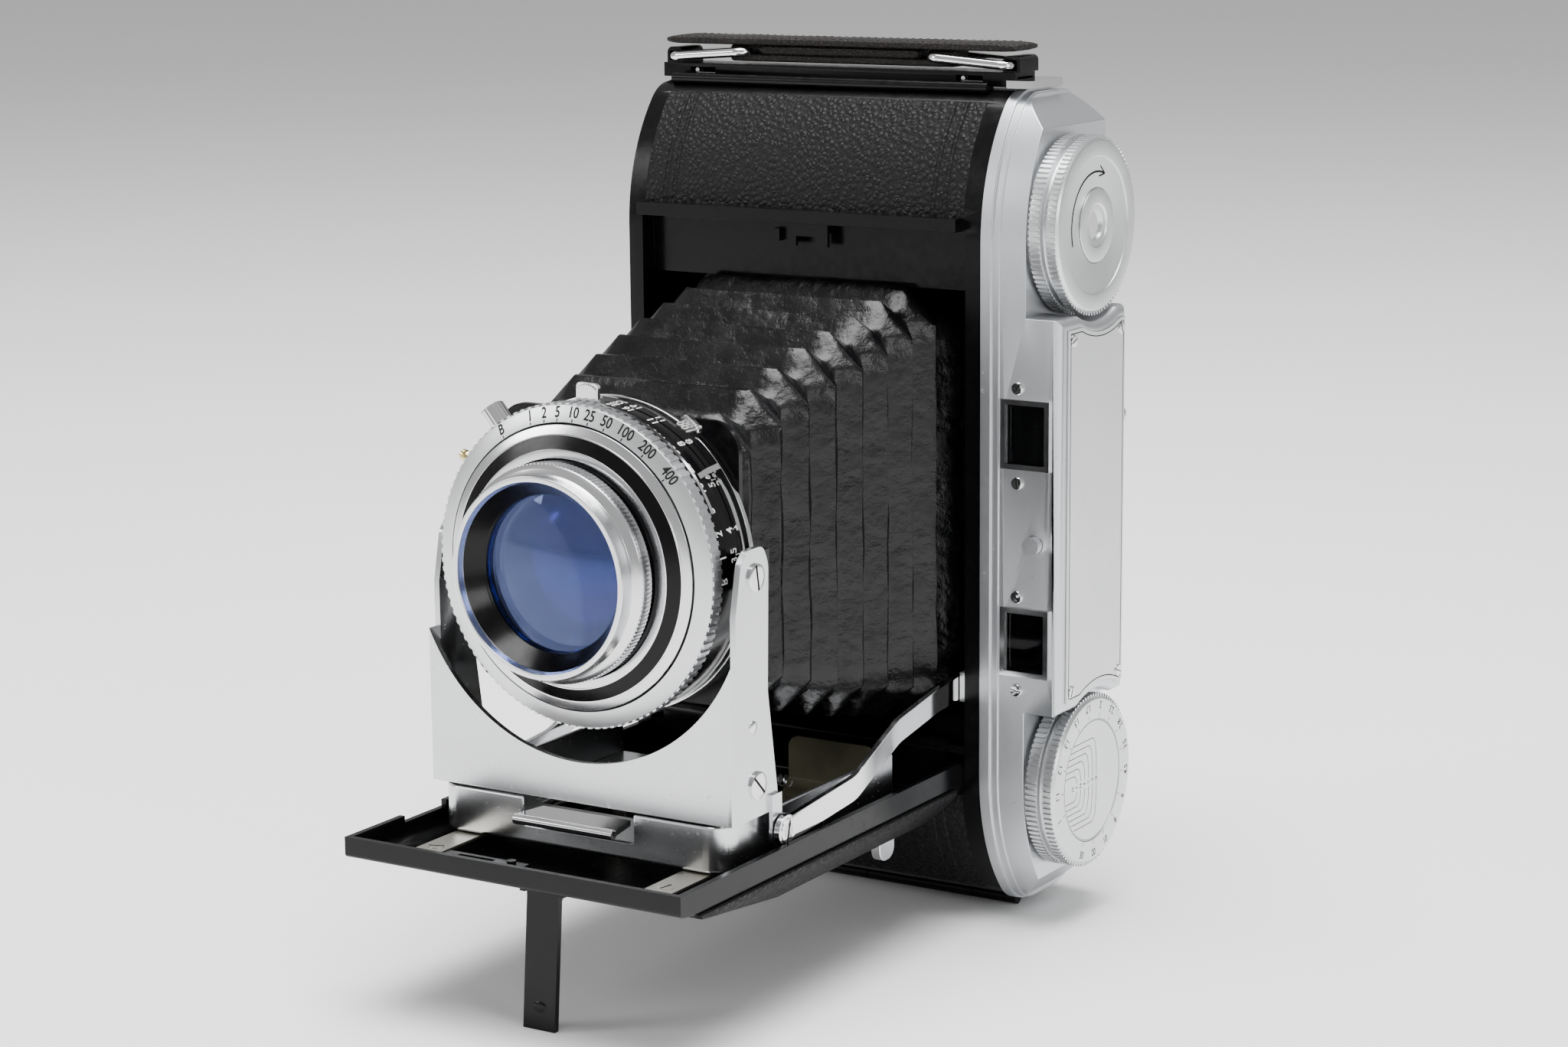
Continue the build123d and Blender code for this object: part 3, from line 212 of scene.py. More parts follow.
@dataclass(frozen=True)
class Enamel:
    """Baked enamel over metal, with a faint orange peel and dust-fine flecks."""

    name: str
    tint: Point = (0.0022, 0.0022, 0.0026)
    roughness: float = 0.22
    peel: float = 0.2

    def build(self) -> bpy.types.Material:
        """Make the material."""
        shade = Shading(self.name)
        cloud = shade.noise(0.12, 4.0)
        fleck = shade.ramp(shade.noise(2.2, 5.0), 0.70, 0.80, 0.0, 0.35)
        base = shade.tint(shade.ramp(cloud, 0.3, 0.7, 0.0, 1.0), [c * 0.8 for c in self.tint],
                          [c * 1.25 for c in self.tint])
        mixed = shade.add("ShaderNodeMix", {"data_type": "RGBA"}, i0=fleck)
        shade.feed(mixed.inputs[6], base)
        mixed.inputs[7].default_value = (*[min(1.0, c * 2.5 + 0.02) for c in self.tint], 1.0)
        shade.set(Base_Color=mixed.outputs[2])
        shade.set(Roughness=shade.ramp(shade.noise(0.5, 5.0), 0.3, 0.7, self.roughness * 0.8,
                                       self.roughness * 1.25))
        shade.set(Specular_IOR_Level=0.4, IOR=1.32)
        shade.bump((shade.noise(1.3, 2.0), self.peel, 0.03))
        return shade.material


@dataclass(frozen=True)
class GrainedLeather:
    """Pebble-grained covering, with optional pressed lines at given heights along X."""

    name: str
    tint: Point = (0.0035, 0.0035, 0.0038)
    cell: float = 1.15
    depth: float = 0.22
    lines: tuple[float, ...] = ()

    def build(self) -> bpy.types.Material:
        """Make the material."""
        shade = Shading(self.name)
        bend = shade.add("ShaderNodeVectorMath", {"operation": "SCALE"}, i0=self._wander(shade))
        bend.inputs["Scale"].default_value = 0.7
        moved = shade.add("ShaderNodeVectorMath", {"operation": "ADD"}, i0=shade.mm,
                          i1=bend.outputs[0]).outputs[0]
        cells = shade.add("ShaderNodeTexVoronoi", {"feature": "SMOOTH_F1"}, Vector=moved,
                          Scale=1.0 / self.cell)
        cells.inputs["Smoothness"].default_value = 0.35
        pebble = shade.ramp(cells.outputs["Distance"], 0.08, 0.62, 1.0, 0.0)
        creases = shade.add("ShaderNodeTexVoronoi", {"feature": "DISTANCE_TO_EDGE"}, Vector=moved,
                            Scale=1.0 / self.cell)
        valley = shade.ramp(creases.outputs["Distance"], 0.0, 0.16, 0.0, 1.0)
        # The creases between the pebbles are coloured darker: painted shade in the grain's hollows.
        shade.set(Base_Color=shade.tint(valley, [c * 0.45 for c in self.tint], [c * 1.3 for c in self.tint]))
        shade.set(Roughness=shade.ramp(pebble, 0.0, 1.0, 0.62, 0.40))
        shade.set(Specular_IOR_Level=0.4, IOR=1.33)
        layers = [(pebble, 0.8, self.depth), (valley, 0.55, self.depth * 0.5),
                  (shade.noise(5.0, 3.0), 0.3, 0.03)]
        if self.lines:
            layers.append((self._pressed(shade), 1.0, 0.35))
        shade.bump(*layers)
        return shade.material

    @staticmethod
    def _wander(shade: Shading) -> bpy.types.NodeSocket:
        """A vector noise that keeps the pebbles from lining up."""
        return shade.add("ShaderNodeTexNoise", Vector=shade.mm, Scale=0.9, Detail=2.0).outputs[1]

    def _pressed(self, shade: Shading) -> bpy.types.NodeSocket:
        """Height of the pressed lines, each 0.6 mm wide and running along the leather."""
        x = shade.add("ShaderNodeSeparateXYZ", Vector=shade.mm).outputs[0]
        height = None
        for line in self.lines:
            away = shade.math("ABSOLUTE", shade.math("SUBTRACT", x, line))
            step = shade.ramp(away, 0.25, 0.6, 0.0, 1.0)
            height = step if height is None else shade.math("MULTIPLY", height, step)
        return height


@dataclass(frozen=True)
class FoldedLeather:
    """Thin, slightly shiny bellows leather with soft creases."""

    name: str
    tint: Point = (0.0018, 0.0018, 0.0021)

    def build(self) -> bpy.types.Material:
        """Make the material."""
        shade = Shading(self.name)
        broad = shade.noise(0.16, 5.0)
        crease = shade.noise(0.4, 8.0, (1.0, 0.45, 1.0))
        fine = shade.noise(3.6, 5.0)
        # The base colour follows the crease height, darker in the hollows and lighter on the ridges: painted
        # shade and painted light on the creases.
        shade.set(Base_Color=shade.tint(shade.ramp(crease, 0.35, 0.7, 0.0, 1.0),
                                        [c * 0.6 for c in self.tint],
                                        [c * 1.7 for c in self.tint]))
        shade.set(Roughness=shade.ramp(broad, 0.3, 0.7, 0.16, 0.34), Specular_IOR_Level=0.5, IOR=1.38)
        shade.bump((broad, 0.5, 0.8), (crease, 0.55, 0.5), (fine, 0.5, 0.09))
        return shade.material


@dataclass(frozen=True)
class ClearGlass:
    """Thin optical glass: clear from the front, with a tinted surface shine."""

    name: str
    shine: Point = (0.5, 0.6, 1.0)
    body: Point = (0.85, 0.88, 1.0)

    def build(self) -> bpy.types.Material:
        """Make the material."""
        shade = Shading(self.name)
        shade.tree.nodes.remove(shade.surface)
        clear = shade.add("ShaderNodeBsdfTransparent", Color=(*self.body, 1.0))
        gloss = shade.add("ShaderNodeBsdfGlossy", Color=(*self.shine, 1.0), Roughness=0.02)
        weight = shade.add("ShaderNodeLayerWeight", Blend=0.35)
        share = shade.ramp(weight.outputs["Fresnel"], 0.0, 1.0, 0.025, 0.45)
        smear = shade.ramp(shade.noise(0.09, 3.0), 0.35, 0.75, 0.9, 1.1)
        mix = shade.add("ShaderNodeMixShader", i0=shade.math("MULTIPLY", share, smear),
                        i1=clear.outputs[0], i2=gloss.outputs[0])
        shade.tree.links.new(mix.outputs[0], shade.output.inputs[0])
        return shade.material


@dataclass(frozen=True)
class CoatedDepth:
    """The blue and violet reflections deep in a coated lens."""

    name: str
    inner: Point = (0.003, 0.013, 0.075)
    outer: Point = (0.014, 0.009, 0.045)

    def build(self) -> bpy.types.Material:
        """Make the material."""
        shade = Shading(self.name)
        parts = shade.add("ShaderNodeSeparateXYZ", Vector=shade.mm)
        height = shade.ramp(parts.outputs[2], -9.0, 9.0, 0.0, 1.0)
        wave = shade.ramp(shade.noise(0.05, 1.0), 0.35, 0.65, -0.2, 0.2)
        level = shade.math("PINGPONG", shade.math("MULTIPLY", shade.math("ADD", height, wave), 1.9), 1.0)
        # The dome really reflects the lamps; its tint, banded by height, paints the blue and violet coating
        # reflections.
        shade.set(Base_Color=shade.tint(level, self.outer, self.inner), Metallic=0.85)
        shade.set(Roughness=shade.ramp(shade.noise(0.2, 2.0), 0.3, 0.7, 0.10, 0.16))
        return shade.material


@dataclass(frozen=True)
class Ink:
    """Filled engraving or print, with slight wear."""

    name: str
    tint: Point

    def build(self) -> bpy.types.Material:
        """Make the material."""
        shade = Shading(self.name)
        wear = shade.ramp(shade.noise(3.0, 4.0), 0.55, 0.8, 0.0, 0.5)
        shade.set(Base_Color=shade.tint(wear, self.tint, [0.6 * c + 0.04 for c in self.tint]),
                  Roughness=0.75)
        shade.set(Specular_IOR_Level=0.15)
        return shade.material


class Look(Enum):
    """Every finish on the camera."""

    SATIN = PlatedMetal("satin_plating")
    HOUSING = PlatedMetal("housing_plating", (0.63, 0.645, 0.665), 0.40, 0.3, (1.0, 1.0, 1.0), 0.5)
    BRIGHT = PlatedMetal("bright_plating", (0.80, 0.80, 0.81), 0.10, 0.08, (1.0, 1.0, 1.0), 0.15)
    KNOB = PlatedMetal("knob_plating", (0.70, 0.71, 0.72), 0.36, 0.3)
    BRUSHED = PlatedMetal("brushed_plate", (0.66, 0.665, 0.67), 0.34, 0.5, (1.0, 0.25, 0.03))
    STANDARD = PlatedMetal("standard_plating", (0.66, 0.67, 0.685), 0.24, 0.2)
    RAIL = PlatedMetal("rail_metal", (0.58, 0.56, 0.50), 0.35, 0.4, (1.0, 0.1, 1.0), 0.7)
    TURNED = PlatedMetal("turned_rim", (0.74, 0.745, 0.76), 0.2, 0.25)
    BRASS = PlatedMetal("brass", (0.72, 0.57, 0.28), 0.25, 0.2)
    BLACK = Enamel("black_enamel")
    SHUTTER = Enamel("shutter_black", (0.0018, 0.0018, 0.0022), 0.2, 0.06)
    MATT = Enamel("matt_black", (0.003, 0.003, 0.003), 0.7, 0.3)
    OLIVE = Enamel("olive_paint", (0.10, 0.095, 0.060), 0.5, 0.3)
    RED = Enamel("red_window", (0.16, 0.004, 0.004), 0.12, 0.05)
    FRONT_LEATHER = GrainedLeather("front_leather", lines=(9.0, 11.2, 72.0, 74.6))
    LEATHER = GrainedLeather("covering_leather")
    STRAP = GrainedLeather("strap_leather", (0.010, 0.008, 0.007), 0.8, 0.2)
    BELLOWS = FoldedLeather("bellows_leather")
    GLASS = ClearGlass("coated_glass")
    WINDOW = ClearGlass("finder_glass", (1.0, 1.0, 1.0), (0.5, 0.52, 0.55))
    DEPTH = CoatedDepth("lens_depth")
    BLACK_INK = Ink("black_ink", (0.012, 0.012, 0.012))
    WHITE_INK = Ink("white_ink", (0.75, 0.75, 0.72))
    THREAD = Ink("black_thread", (0.03, 0.03, 0.03))

    @property
    def material(self) -> bpy.types.Material:
        """The finish's material, made once."""
        found = bpy.data.materials.get(f"{self.value.name}_finish")
        return found or self.value.build()


# ------------------------------------------------------------------ mesh making
def node_box(node: str) -> tuple[Vector, Vector]:
    """Lowest and highest corner of a solid node, in metres."""
    low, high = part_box(node)
    return Vector(low), Vector(high)


def edge_look(mesh: bpy.types.Mesh, degrees: float = 34.0) -> None:
    """Shade a mesh smooth, with every edge sharper than an angle left sharp.

    Args:
        mesh: The mesh to shade.
        degrees: Angle past which an edge stays sharp.
    """
    work = bmesh.new()
    work.from_mesh(mesh)
    limit = math.radians(degrees)
    for face in work.faces:
        face.smooth = True
    for edge in work.edges:
        edge.smooth = len(edge.link_faces) == 2 and edge.calc_face_angle(0.0) < limit
    work.to_mesh(mesh)
    work.free()


def piece_from(name: str, work: bmesh.types.BMesh, looks: Sequence[Look],
               merge: float = 1e-7) -> bpy.types.Object:
    """Turn a bmesh into a finished object at the origin.

    Args:
        name: The piece's name.
        work: The mesh being worked on, freed here.
        looks: A finish for each material index.
        merge: Distance under which points are merged.

    Returns:
        The new object.
    """
    if merge:
        bmesh.ops.remove_doubles(work, verts=work.verts[:], dist=merge)
    bmesh.ops.recalc_face_normals(work, faces=work.faces[:])
    mesh = bpy.data.meshes.new(name)
    work.to_mesh(mesh)
    work.free()
    for look in looks:
        mesh.materials.append(look.material)
    edge_look(mesh)
    made = bpy.data.objects.new(name, mesh)
    bpy.context.scene.collection.objects.link(made)
    return made


def settle(piece: bpy.types.Object, like: str, replaced: Iterable[str] = ()) -> bpy.types.Object:
    """Put a finished piece on its body and hide the solid nodes it stands for.

    Args:
        piece: The finished piece.
        like: The solid node whose body it rides.
        replaced: Solid nodes that it stands for.

    Returns:
        The same piece.
    """
    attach(piece, BODY_OF[like])
    if replaced:
        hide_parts(*replaced)
    LOG.info("%s rides %s, %d faces", piece.name, BODY_OF[like], len(piece.data.polygons))
    return piece


def softened(node: str, looks: Sequence[Look], width: float = 0.25, steps: int = 2,
             paint: Optional[Callable[[Vector, Vector], int]] = None, flat: float = 0.6) -> bpy.types.Object:
    """A copy of a solid node with its edges rounded, standing for the node.

    Args:
        node: The solid node.
        looks: A finish for each material index.
        width: Width of the rounding in millimetres.
        steps: Rounding steps.
        paint: Picks a face's material index from its middle and normal.
        flat: Angle in degrees under which neighbouring faces are joined.

    Returns:
        The new piece.
    """
    work = bmesh.new()
    work.from_mesh(frame["nodes"][node].data)
    bmesh.ops.remove_doubles(work, verts=work.verts[:], dist=2e-6)
    bmesh.ops.dissolve_limit(work, angle_limit=math.radians(flat), verts=work.verts[:], edges=work.edges[:])
    for face in work.faces:
        face.material_index = paint(face.calc_center_median() / MM, face.normal) if paint else 0
    mesh = bpy.data.meshes.new(f"{node}_shape")
    work.to_mesh(mesh)
    work.free()
    for look in looks:
        mesh.materials.append(look.material)
    edge_look(mesh, 28.0)
    piece = bpy.data.objects.new(f"{node}_shape", mesh)
    bpy.context.scene.collection.objects.link(piece)
    bevel = piece.modifiers.new("rounded_edges", "BEVEL")
    bevel.width = width * MM
    bevel.segments = steps
    bevel.limit_method = "ANGLE"
    bevel.angle_limit = math.radians(34)
    bevel.use_clamp_overlap = True
    bevel.harden_normals = True
    bevel.miter_outer = "MITER_ARC"
    return settle(piece, node, (node,))


def soft_profile(corners: Sequence[Corner], radius: float, steps: int = 3) -> list[Corner]:
    """Round every corner of a closed profile.

    Args:
        corners: (radius, along, material) of each corner, the material being that of the run after it.
        radius: Rounding radius in millimetres.
        steps: Points per corner.

    Returns:
        The rounded profile.
    """
    rounded: list[Corner] = []
    count = len(corners)
    for index, (r, a, look) in enumerate(corners):
        before, after = Vector(corners[index - 1][:2]), Vector(corners[(index + 1) % count][:2])
        here = Vector((r, a))
        back, on = before - here, after - here
        reach = min(radius, back.length * 0.45, on.length * 0.45)
        start, end = here + back.normalized() * reach, here + on.normalized() * reach
        for step in range(steps + 1):
            t = step / steps
            spot = start * (1 - t) ** 2 + here * 2 * t * (1 - t) + end * t ** 2
            mark = look if t > 0.5 else corners[index - 1][2]
            rounded.append((spot.x, spot.y, mark))
    return rounded


class Axis(Enum):
    """The line a turned piece is turned about."""

    Y = "lens"
    X = "knob"


def turned(name: str, profile: Sequence[Corner], looks: Sequence[Look], centre: Point, axis: Axis = Axis.Y,
           radius: float = 0.12, around: int = 144) -> bpy.types.Object:
    """A turned ring or disc from a closed profile, with rounded corners.

    Args:
        name: The piece's name.
        profile: (radius, along, material) corners in millimetres; radius 0 makes a closed face.
        looks: A finish for each material index.
        centre: A point on the axis, in millimetres; its place along the axis is ignored.
        axis: The axis to turn about.
        radius: Corner rounding in millimetres.
        around: Faces round the ring.

    Returns:
        The new piece.
    """
    work = bmesh.new()
    corners = soft_profile(profile, radius) if radius else list(profile)
    rings: list[list[bmesh.types.BMVert]] = []
    for r, along, _ in corners:
        r = max(r, 0.0)
        ring = []
        for step in range(around):
            turn = 2 * math.pi * step / around
            u, v = r * math.cos(turn), r * math.sin(turn)
            if axis is Axis.Y:
                spot = (centre[0] + u, along, centre[2] + v)
            else:
                spot = (along, centre[1] + u, centre[2] + v)
            ring.append(work.verts.new(Vector(spot) * MM))
        rings.append(ring)
    for index, ring in enumerate(rings):
        following = rings[(index + 1) % len(rings)]
        if corners[index][0] <= 1e-6 and corners[(index + 1) % len(rings)][0] <= 1e-6:
            continue
        for step in range(around):
            after = (step + 1) % around
            face = work.faces.new((ring[step], ring[after], following[after], following[step]))
            face.material_index = corners[index][2]
    return piece_from(name, work, looks)


def plain(corners: Sequence[tuple[float, float]]) -> list[Corner]:
    """A profile in one finish."""
    return [(r, a, 0) for r, a in corners]


def standing(origin: Vector, normal: Vector, up: Vector) -> Matrix:
    """A frame whose Z is a surface's normal and whose Y is up on it.

    Args:
        origin: Its origin, in millimetres.
        normal: The surface's normal.
        up: Which way is up on the surface.

    Returns:
        The 4 by 4 matrix, in metres.
    """
    z = normal.normalized()
    x = up.cross(z).normalized()
    y = z.cross(x)
    return Matrix.Translation(origin * MM) @ Matrix((x, y, z)).transposed().to_4x4()


@dataclass
class Marks:
    """Numbers, lines and dots laid on a surface and joined into one piece."""

    name: str
    look: Look
    raise_mm: float = 0.02
    parts: list[bpy.types.Mesh] = field(default_factory=list)

    def number(self, text: str, size: float, place: Matrix, squeeze: float = 0.9,
               bold: float = 0.03) -> None:
        """Add a number.

        Args:
            text: The figures.
            size: Height of the figures in millimetres.
            place: Frame of the spot they stand on.
            squeeze: Width of the figures against their height.
            bold: Thickening of the strokes in millimetres.
        """
        curve = bpy.data.curves.new("figures", "FONT")
        curve.body = text
        curve.size = size * 1.38 * MM
        curve.align_x = "CENTER"
        curve.align_y = "CENTER"
        curve.resolution_u = 3
        curve.extrude = self.raise_mm * MM
        curve.offset = bold * MM
        carrier = bpy.data.objects.new("figures", curve)
        bpy.context.scene.collection.objects.link(carrier)
        bpy.context.view_layer.update()
        mesh = bpy.data.meshes.new_from_object(carrier.evaluated_get(bpy.context.evaluated_depsgraph_get()))
        mesh.transform(place @ Matrix.Diagonal((squeeze, 1.0, 1.0, 1.0)))
        self.parts.append(mesh)
        bpy.data.objects.remove(carrier)

    def bar(self, width: float, length: float, place: Matrix) -> None:
        """Add a bar of a width and length in millimetres, centred on a spot."""
        work = bmesh.new()
        bmesh.ops.create_cube(work, size=1.0)
        work.transform(place @ Matrix.Diagonal((width * MM, length * MM, 2 * self.raise_mm * MM, 1.0)))
        mesh = bpy.data.meshes.new("bar")
        work.to_mesh(mesh)
        work.free()
        self.parts.append(mesh)

    def line(self, points: Sequence[Vector], width: float, normal: Vector) -> None:
        """Add a flat line through points in millimetres, lying on a plane with a normal."""
        work = bmesh.new()
        rows = []
        for index, point in enumerate(points):
            ahead = points[min(index + 1, len(points) - 1)] - points[max(index - 1, 0)]
            side = normal.cross(ahead).normalized() * width / 2
            lift = normal * self.raise_mm
            rows.append([work.verts.new((point + s * side + h * lift) * MM) for s,
                         h in ((1, -1), (1, 1), (-1, 1), (-1, -1))])
        for first, second in zip(rows, rows[1:]):
            for k in range(4):
                work.faces.new((first[k], first[(k + 1) % 4], second[(k + 1) % 4], second[k]))
        work.faces.new(rows[0])
        work.faces.new(rows[-1][::-1])
        bmesh.ops.recalc_face_normals(work, faces=work.faces[:])
        mesh = bpy.data.meshes.new("line")
        work.to_mesh(mesh)
        work.free()
        self.parts.append(mesh)

    def finish(self, like: str, slot: Optional[str] = None) -> bpy.types.Object:
        """Join the marks into one piece on the body of a solid node."""
        work = bmesh.new()
        for mesh in self.parts:
            work.from_mesh(mesh)
            bpy.data.meshes.remove(mesh)
        piece = piece_from(self.name, work, (self.look,), 0.0)
        return settle(piece, like, ())


class RingTree:
    """Geometry Nodes tree: equal blocks set round a ring about Y."""

    NAME = "blocks_round_a_ring"
    INPUTS = (("Count", "NodeSocketInt"), ("Radius", "NodeSocketFloat"), ("Start", "NodeSocketFloat"),
              ("Step", "NodeSocketFloat"), ("Size", "NodeSocketVector"), ("Material", "NodeSocketMaterial"))

    @classmethod
    def tree(cls) -> bpy.types.NodeTree:
        """The tree, made once.

        Returns:
            The node group.
        """
        found = bpy.data.node_groups.get(cls.NAME)
        if found:
            return found
        tree = bpy.data.node_groups.new(cls.NAME, "GeometryNodeTree")
        for name, kind in cls.INPUTS:
            tree.interface.new_socket(name, in_out="INPUT", socket_type=kind)
        tree.interface.new_socket("Geometry", in_out="OUTPUT", socket_type="NodeSocketGeometry")
        new, link = tree.nodes.new, tree.links.new
        given, out = new("NodeGroupInput"), new("NodeGroupOutput")

        def step(operation: str, first, second=None) -> bpy.types.NodeSocket:
            """One arithmetic node."""
            node = new("ShaderNodeMath")
            node.operation = operation
            for socket, value in zip(node.inputs, (first, second)):
                if isinstance(value, bpy.types.NodeSocket):
                    link(value, socket)
                elif value is not None:
                    socket.default_value = value
            return node.outputs[0]

        points = new("GeometryNodePoints")
        link(given.outputs["Count"], points.inputs["Count"])
        index = new("GeometryNodeInputIndex").outputs[0]
        turn = step("ADD", step("MULTIPLY", index, given.outputs["Step"]), given.outputs["Start"])
        spot = new("ShaderNodeCombineXYZ")
        link(step("MULTIPLY", step("COSINE", turn), given.outputs["Radius"]), spot.inputs[0])
        link(step("MULTIPLY", step("SINE", turn), given.outputs["Radius"]), spot.inputs[2])
        link(spot.outputs[0], points.inputs["Position"])
        block = new("GeometryNodeMeshCube")
        link(given.outputs["Size"], block.inputs["Size"])
        facing = new("ShaderNodeCombineXYZ")
        link(step("MULTIPLY", turn, -1.0), facing.inputs[1])
        placed = new("GeometryNodeInstanceOnPoints")
        link(points.outputs[0], placed.inputs["Points"])
        link(block.outputs["Mesh"], placed.inputs["Instance"])
        link(facing.outputs[0], placed.inputs["Rotation"])
        real = new("GeometryNodeRealizeInstances")
        link(placed.outputs[0], real.inputs[0])
        dressed = new("GeometryNodeSetMaterial")
        link(real.outputs[0], dressed.inputs["Geometry"])
        link(given.outputs["Material"], dressed.inputs["Material"])
        link(dressed.outputs[0], out.inputs[0])
        return tree

    @classmethod
    def mesh(cls, count: int, radius: float, size: Point, look: Look, start: float = 0.0,
             sweep: float = 360.0) -> bpy.types.Mesh:
        """Blocks round a ring as a plain mesh about the Y axis.

        Args:
            count: How many blocks.
            radius: Distance of their middles from the axis, in millimetres.
            size: Radial, axial and sideways size in millimetres.
            look: Their finish.
            start: Angle of the first block in degrees.
            sweep: Angle that they fill in degrees.

        Returns:
            The mesh, in metres.
        """
        tree = cls.tree()
        carrier = bpy.data.objects.new("ring_blocks", bpy.data.meshes.new("ring_blocks"))
        bpy.context.scene.collection.objects.link(carrier)
        maker = carrier.modifiers.new("ring", "NODES")
        maker.node_group = tree
        values = {"Count": count, "Radius": radius * MM, "Start": math.radians(start),
                  "Step": math.radians(sweep / count), "Size": Vector(size) * MM, "Material": look.material}
        for item in tree.interface.items_tree:
            if item.in_out == "INPUT":
                value = values[item.name]
                maker[item.identifier] = list(value) if isinstance(value, Vector) else value
        bpy.context.view_layer.update()
        made = bpy.data.meshes.new_from_object(carrier.evaluated_get(bpy.context.evaluated_depsgraph_get()))
        carrier.modifiers.remove(maker)
        bpy.data.objects.remove(carrier)
        return made

    @classmethod
    def piece(cls, name: str, like: str, place: Matrix, count: int, radius: float, size: Point, look: Look,
              start: float = 0.0, sweep: float = 360.0) -> bpy.types.Object:
        """Blocks round a ring as a finished piece that rides with a solid node."""
        made = cls.mesh(count, radius, size, look, start, sweep)
        made.transform(place)
        if not made.materials:
            made.materials.append(look.material)
        piece = bpy.data.objects.new(name, made)
        bpy.context.scene.collection.objects.link(piece)
        return settle(piece, like)


def about_lens(along: float) -> Matrix:
    """Frame for ring blocks about the lens axis, at a distance along it in millimetres."""
    return Matrix.Translation(Vector((LENS_X, along, 0.0)) * MM)


def about_knob(along: float, z: float) -> Matrix:
    """Frame for ring blocks about a knob's axis."""
    return Matrix.Translation(Vector((along, 0.0, z)) * MM) @ Matrix.Rotation(math.radians(90), 4, "Z")


def on_lens(angle: float, radius: float, along: float) -> Vector:
    """A point at an angle and radius about the lens axis, in millimetres."""
    turn = math.radians(angle)
    return Vector((LENS_X + radius * math.cos(turn), along, radius * math.sin(turn)))


def outward(angle: float) -> Vector:
    """The direction away from the lens axis at an angle."""
    return Vector((math.cos(math.radians(angle)), 0.0, math.sin(math.radians(angle))))


@dataclass
class Screws:
    """Slotted screw heads whose slot is a dark bar of painted shade, gathered into one piece."""

    name: str
    look: Look = Look.BRIGHT
    work: bmesh.types.BMesh = field(default_factory=bmesh.new)

    def head(self, place: Matrix, radius: float, height: float = 0.5, turn: float = 30.0,
             domed: float = 0.25) -> None:
        """Add one screw head.

        Args:
            place: Frame of its seat.
            radius: Radius in millimetres.
            height: Height in millimetres.
            turn: Angle of its slot in degrees.
            domed: Share of the height that is rounded.
        """
        around, rings = 32, []
        profile = [(radius, -0.05), (radius, height * (1 - domed)),
                   (radius * 0.93, height * (1 - domed * 0.35)),
                   (radius * 0.7, height), (0.0, height)]
        frame_here = place @ Matrix.Rotation(math.radians(turn), 4, "Z")
        for r, h in profile:
            rings.append([self.work.verts.new(frame_here @ (Vector((r * math.cos(2 * math.pi * k / around),
                          r * math.sin(2 * math.pi * k / around), h)) * MM)) for k in range(around)])
        for low, high in zip(rings, rings[1:]):
            for k in range(around):
                self.work.faces.new((low[k], low[(k + 1) % around], high[(k + 1) % around], high[k]))
        self.work.faces.new(rings[0][::-1])
        # The slot is a dark bar laid on the head: painted shade in the slot.
        slot = bmesh.ops.create_cube(self.work, size=1.0)["verts"]
        size = Matrix.Diagonal((radius * 1.84 * MM, radius * 0.17 * MM, 0.16 * MM, 1.0))
        lift = Matrix.Translation(Vector((0, 0, height - 0.03)) * MM)
        bmesh.ops.transform(self.work, matrix=frame_here @ lift @ size, verts=slot)
        for face in {f for v in slot for f in v.link_faces}:
            face.material_index = 1

    def finish(self, like: str, replaced: Iterable[str] = ()) -> bpy.types.Object:
        """Make the piece, riding with a solid node."""
        return settle(piece_from(self.name, self.work, (self.look, Look.MATT), 1e-8), like, replaced)


# ------------------------------------------------------------------ sub-assemblies
@dataclass
class CarriedNodes:
    """Solid nodes whose shape is right and which only take a finish."""

    looks: dict[str, Look] = field(default_factory=lambda: {
        "base_plate": Look.BLACK, "tripod_bush": Look.SATIN, "film_gate": Look.SATIN,
        "spool_pivots": Look.BRIGHT,
        "rangefinder_block": Look.MATT, "window_glasses": Look.WINDOW, "hinge_pins": Look.BLACK,
        "front_leather": Look.FRONT_LEATHER, "rear_leather": Look.LEATHER, "door_leather": Look.LEATHER,
        "bed_screws": Look.BRIGHT, "rear_element": Look.GLASS, "iris_blades": Look.SHUTTER,
        "wind_shaft": Look.BRUSHED,
        "take_up_spool": Look.BLACK, "upper_roller": Look.BRIGHT, "lower_roller": Look.BRIGHT,
        "red_windows": Look.RED,
        "pressure_plate": Look.BLACK, "window_shutter": Look.BLACK, "left_link": Look.BRIGHT,
        "right_link": Look.BRIGHT,
        "door_catch": Look.BLACK, "door_button": Look.SATIN, "strut_slide": Look.BRUSHED,
        "lens_panel": Look.SHUTTER,
        "aperture_lever": Look.BRIGHT, "cocking_lever": Look.BRIGHT, "release_arm": Look.SHUTTER,
        "focus_dial": Look.KNOB, "window_frames": Look.BRIGHT, "release_lever": Look.BRIGHT,
    })

    def dress(self) -> None:
        """Give every solid node a finish; pieces that stand for a node hide it later."""
        for name, node in frame["nodes"].items():
            look = self.looks.get(name, Look.BLACK)
            node.data.materials.clear()
            node.data.materials.append(look.material)
        LOG.info("dressed %d solid nodes", len(frame["nodes"]))


@dataclass
class Casting:
    """Body casting, rear cover and their rounded edges."""

    def build(self) -> None:
        """Round the painted castings."""
        softened("body_casting", (Look.BLACK,), 0.3)
        softened("rear_cover", (Look.BLACK,), 0.3)


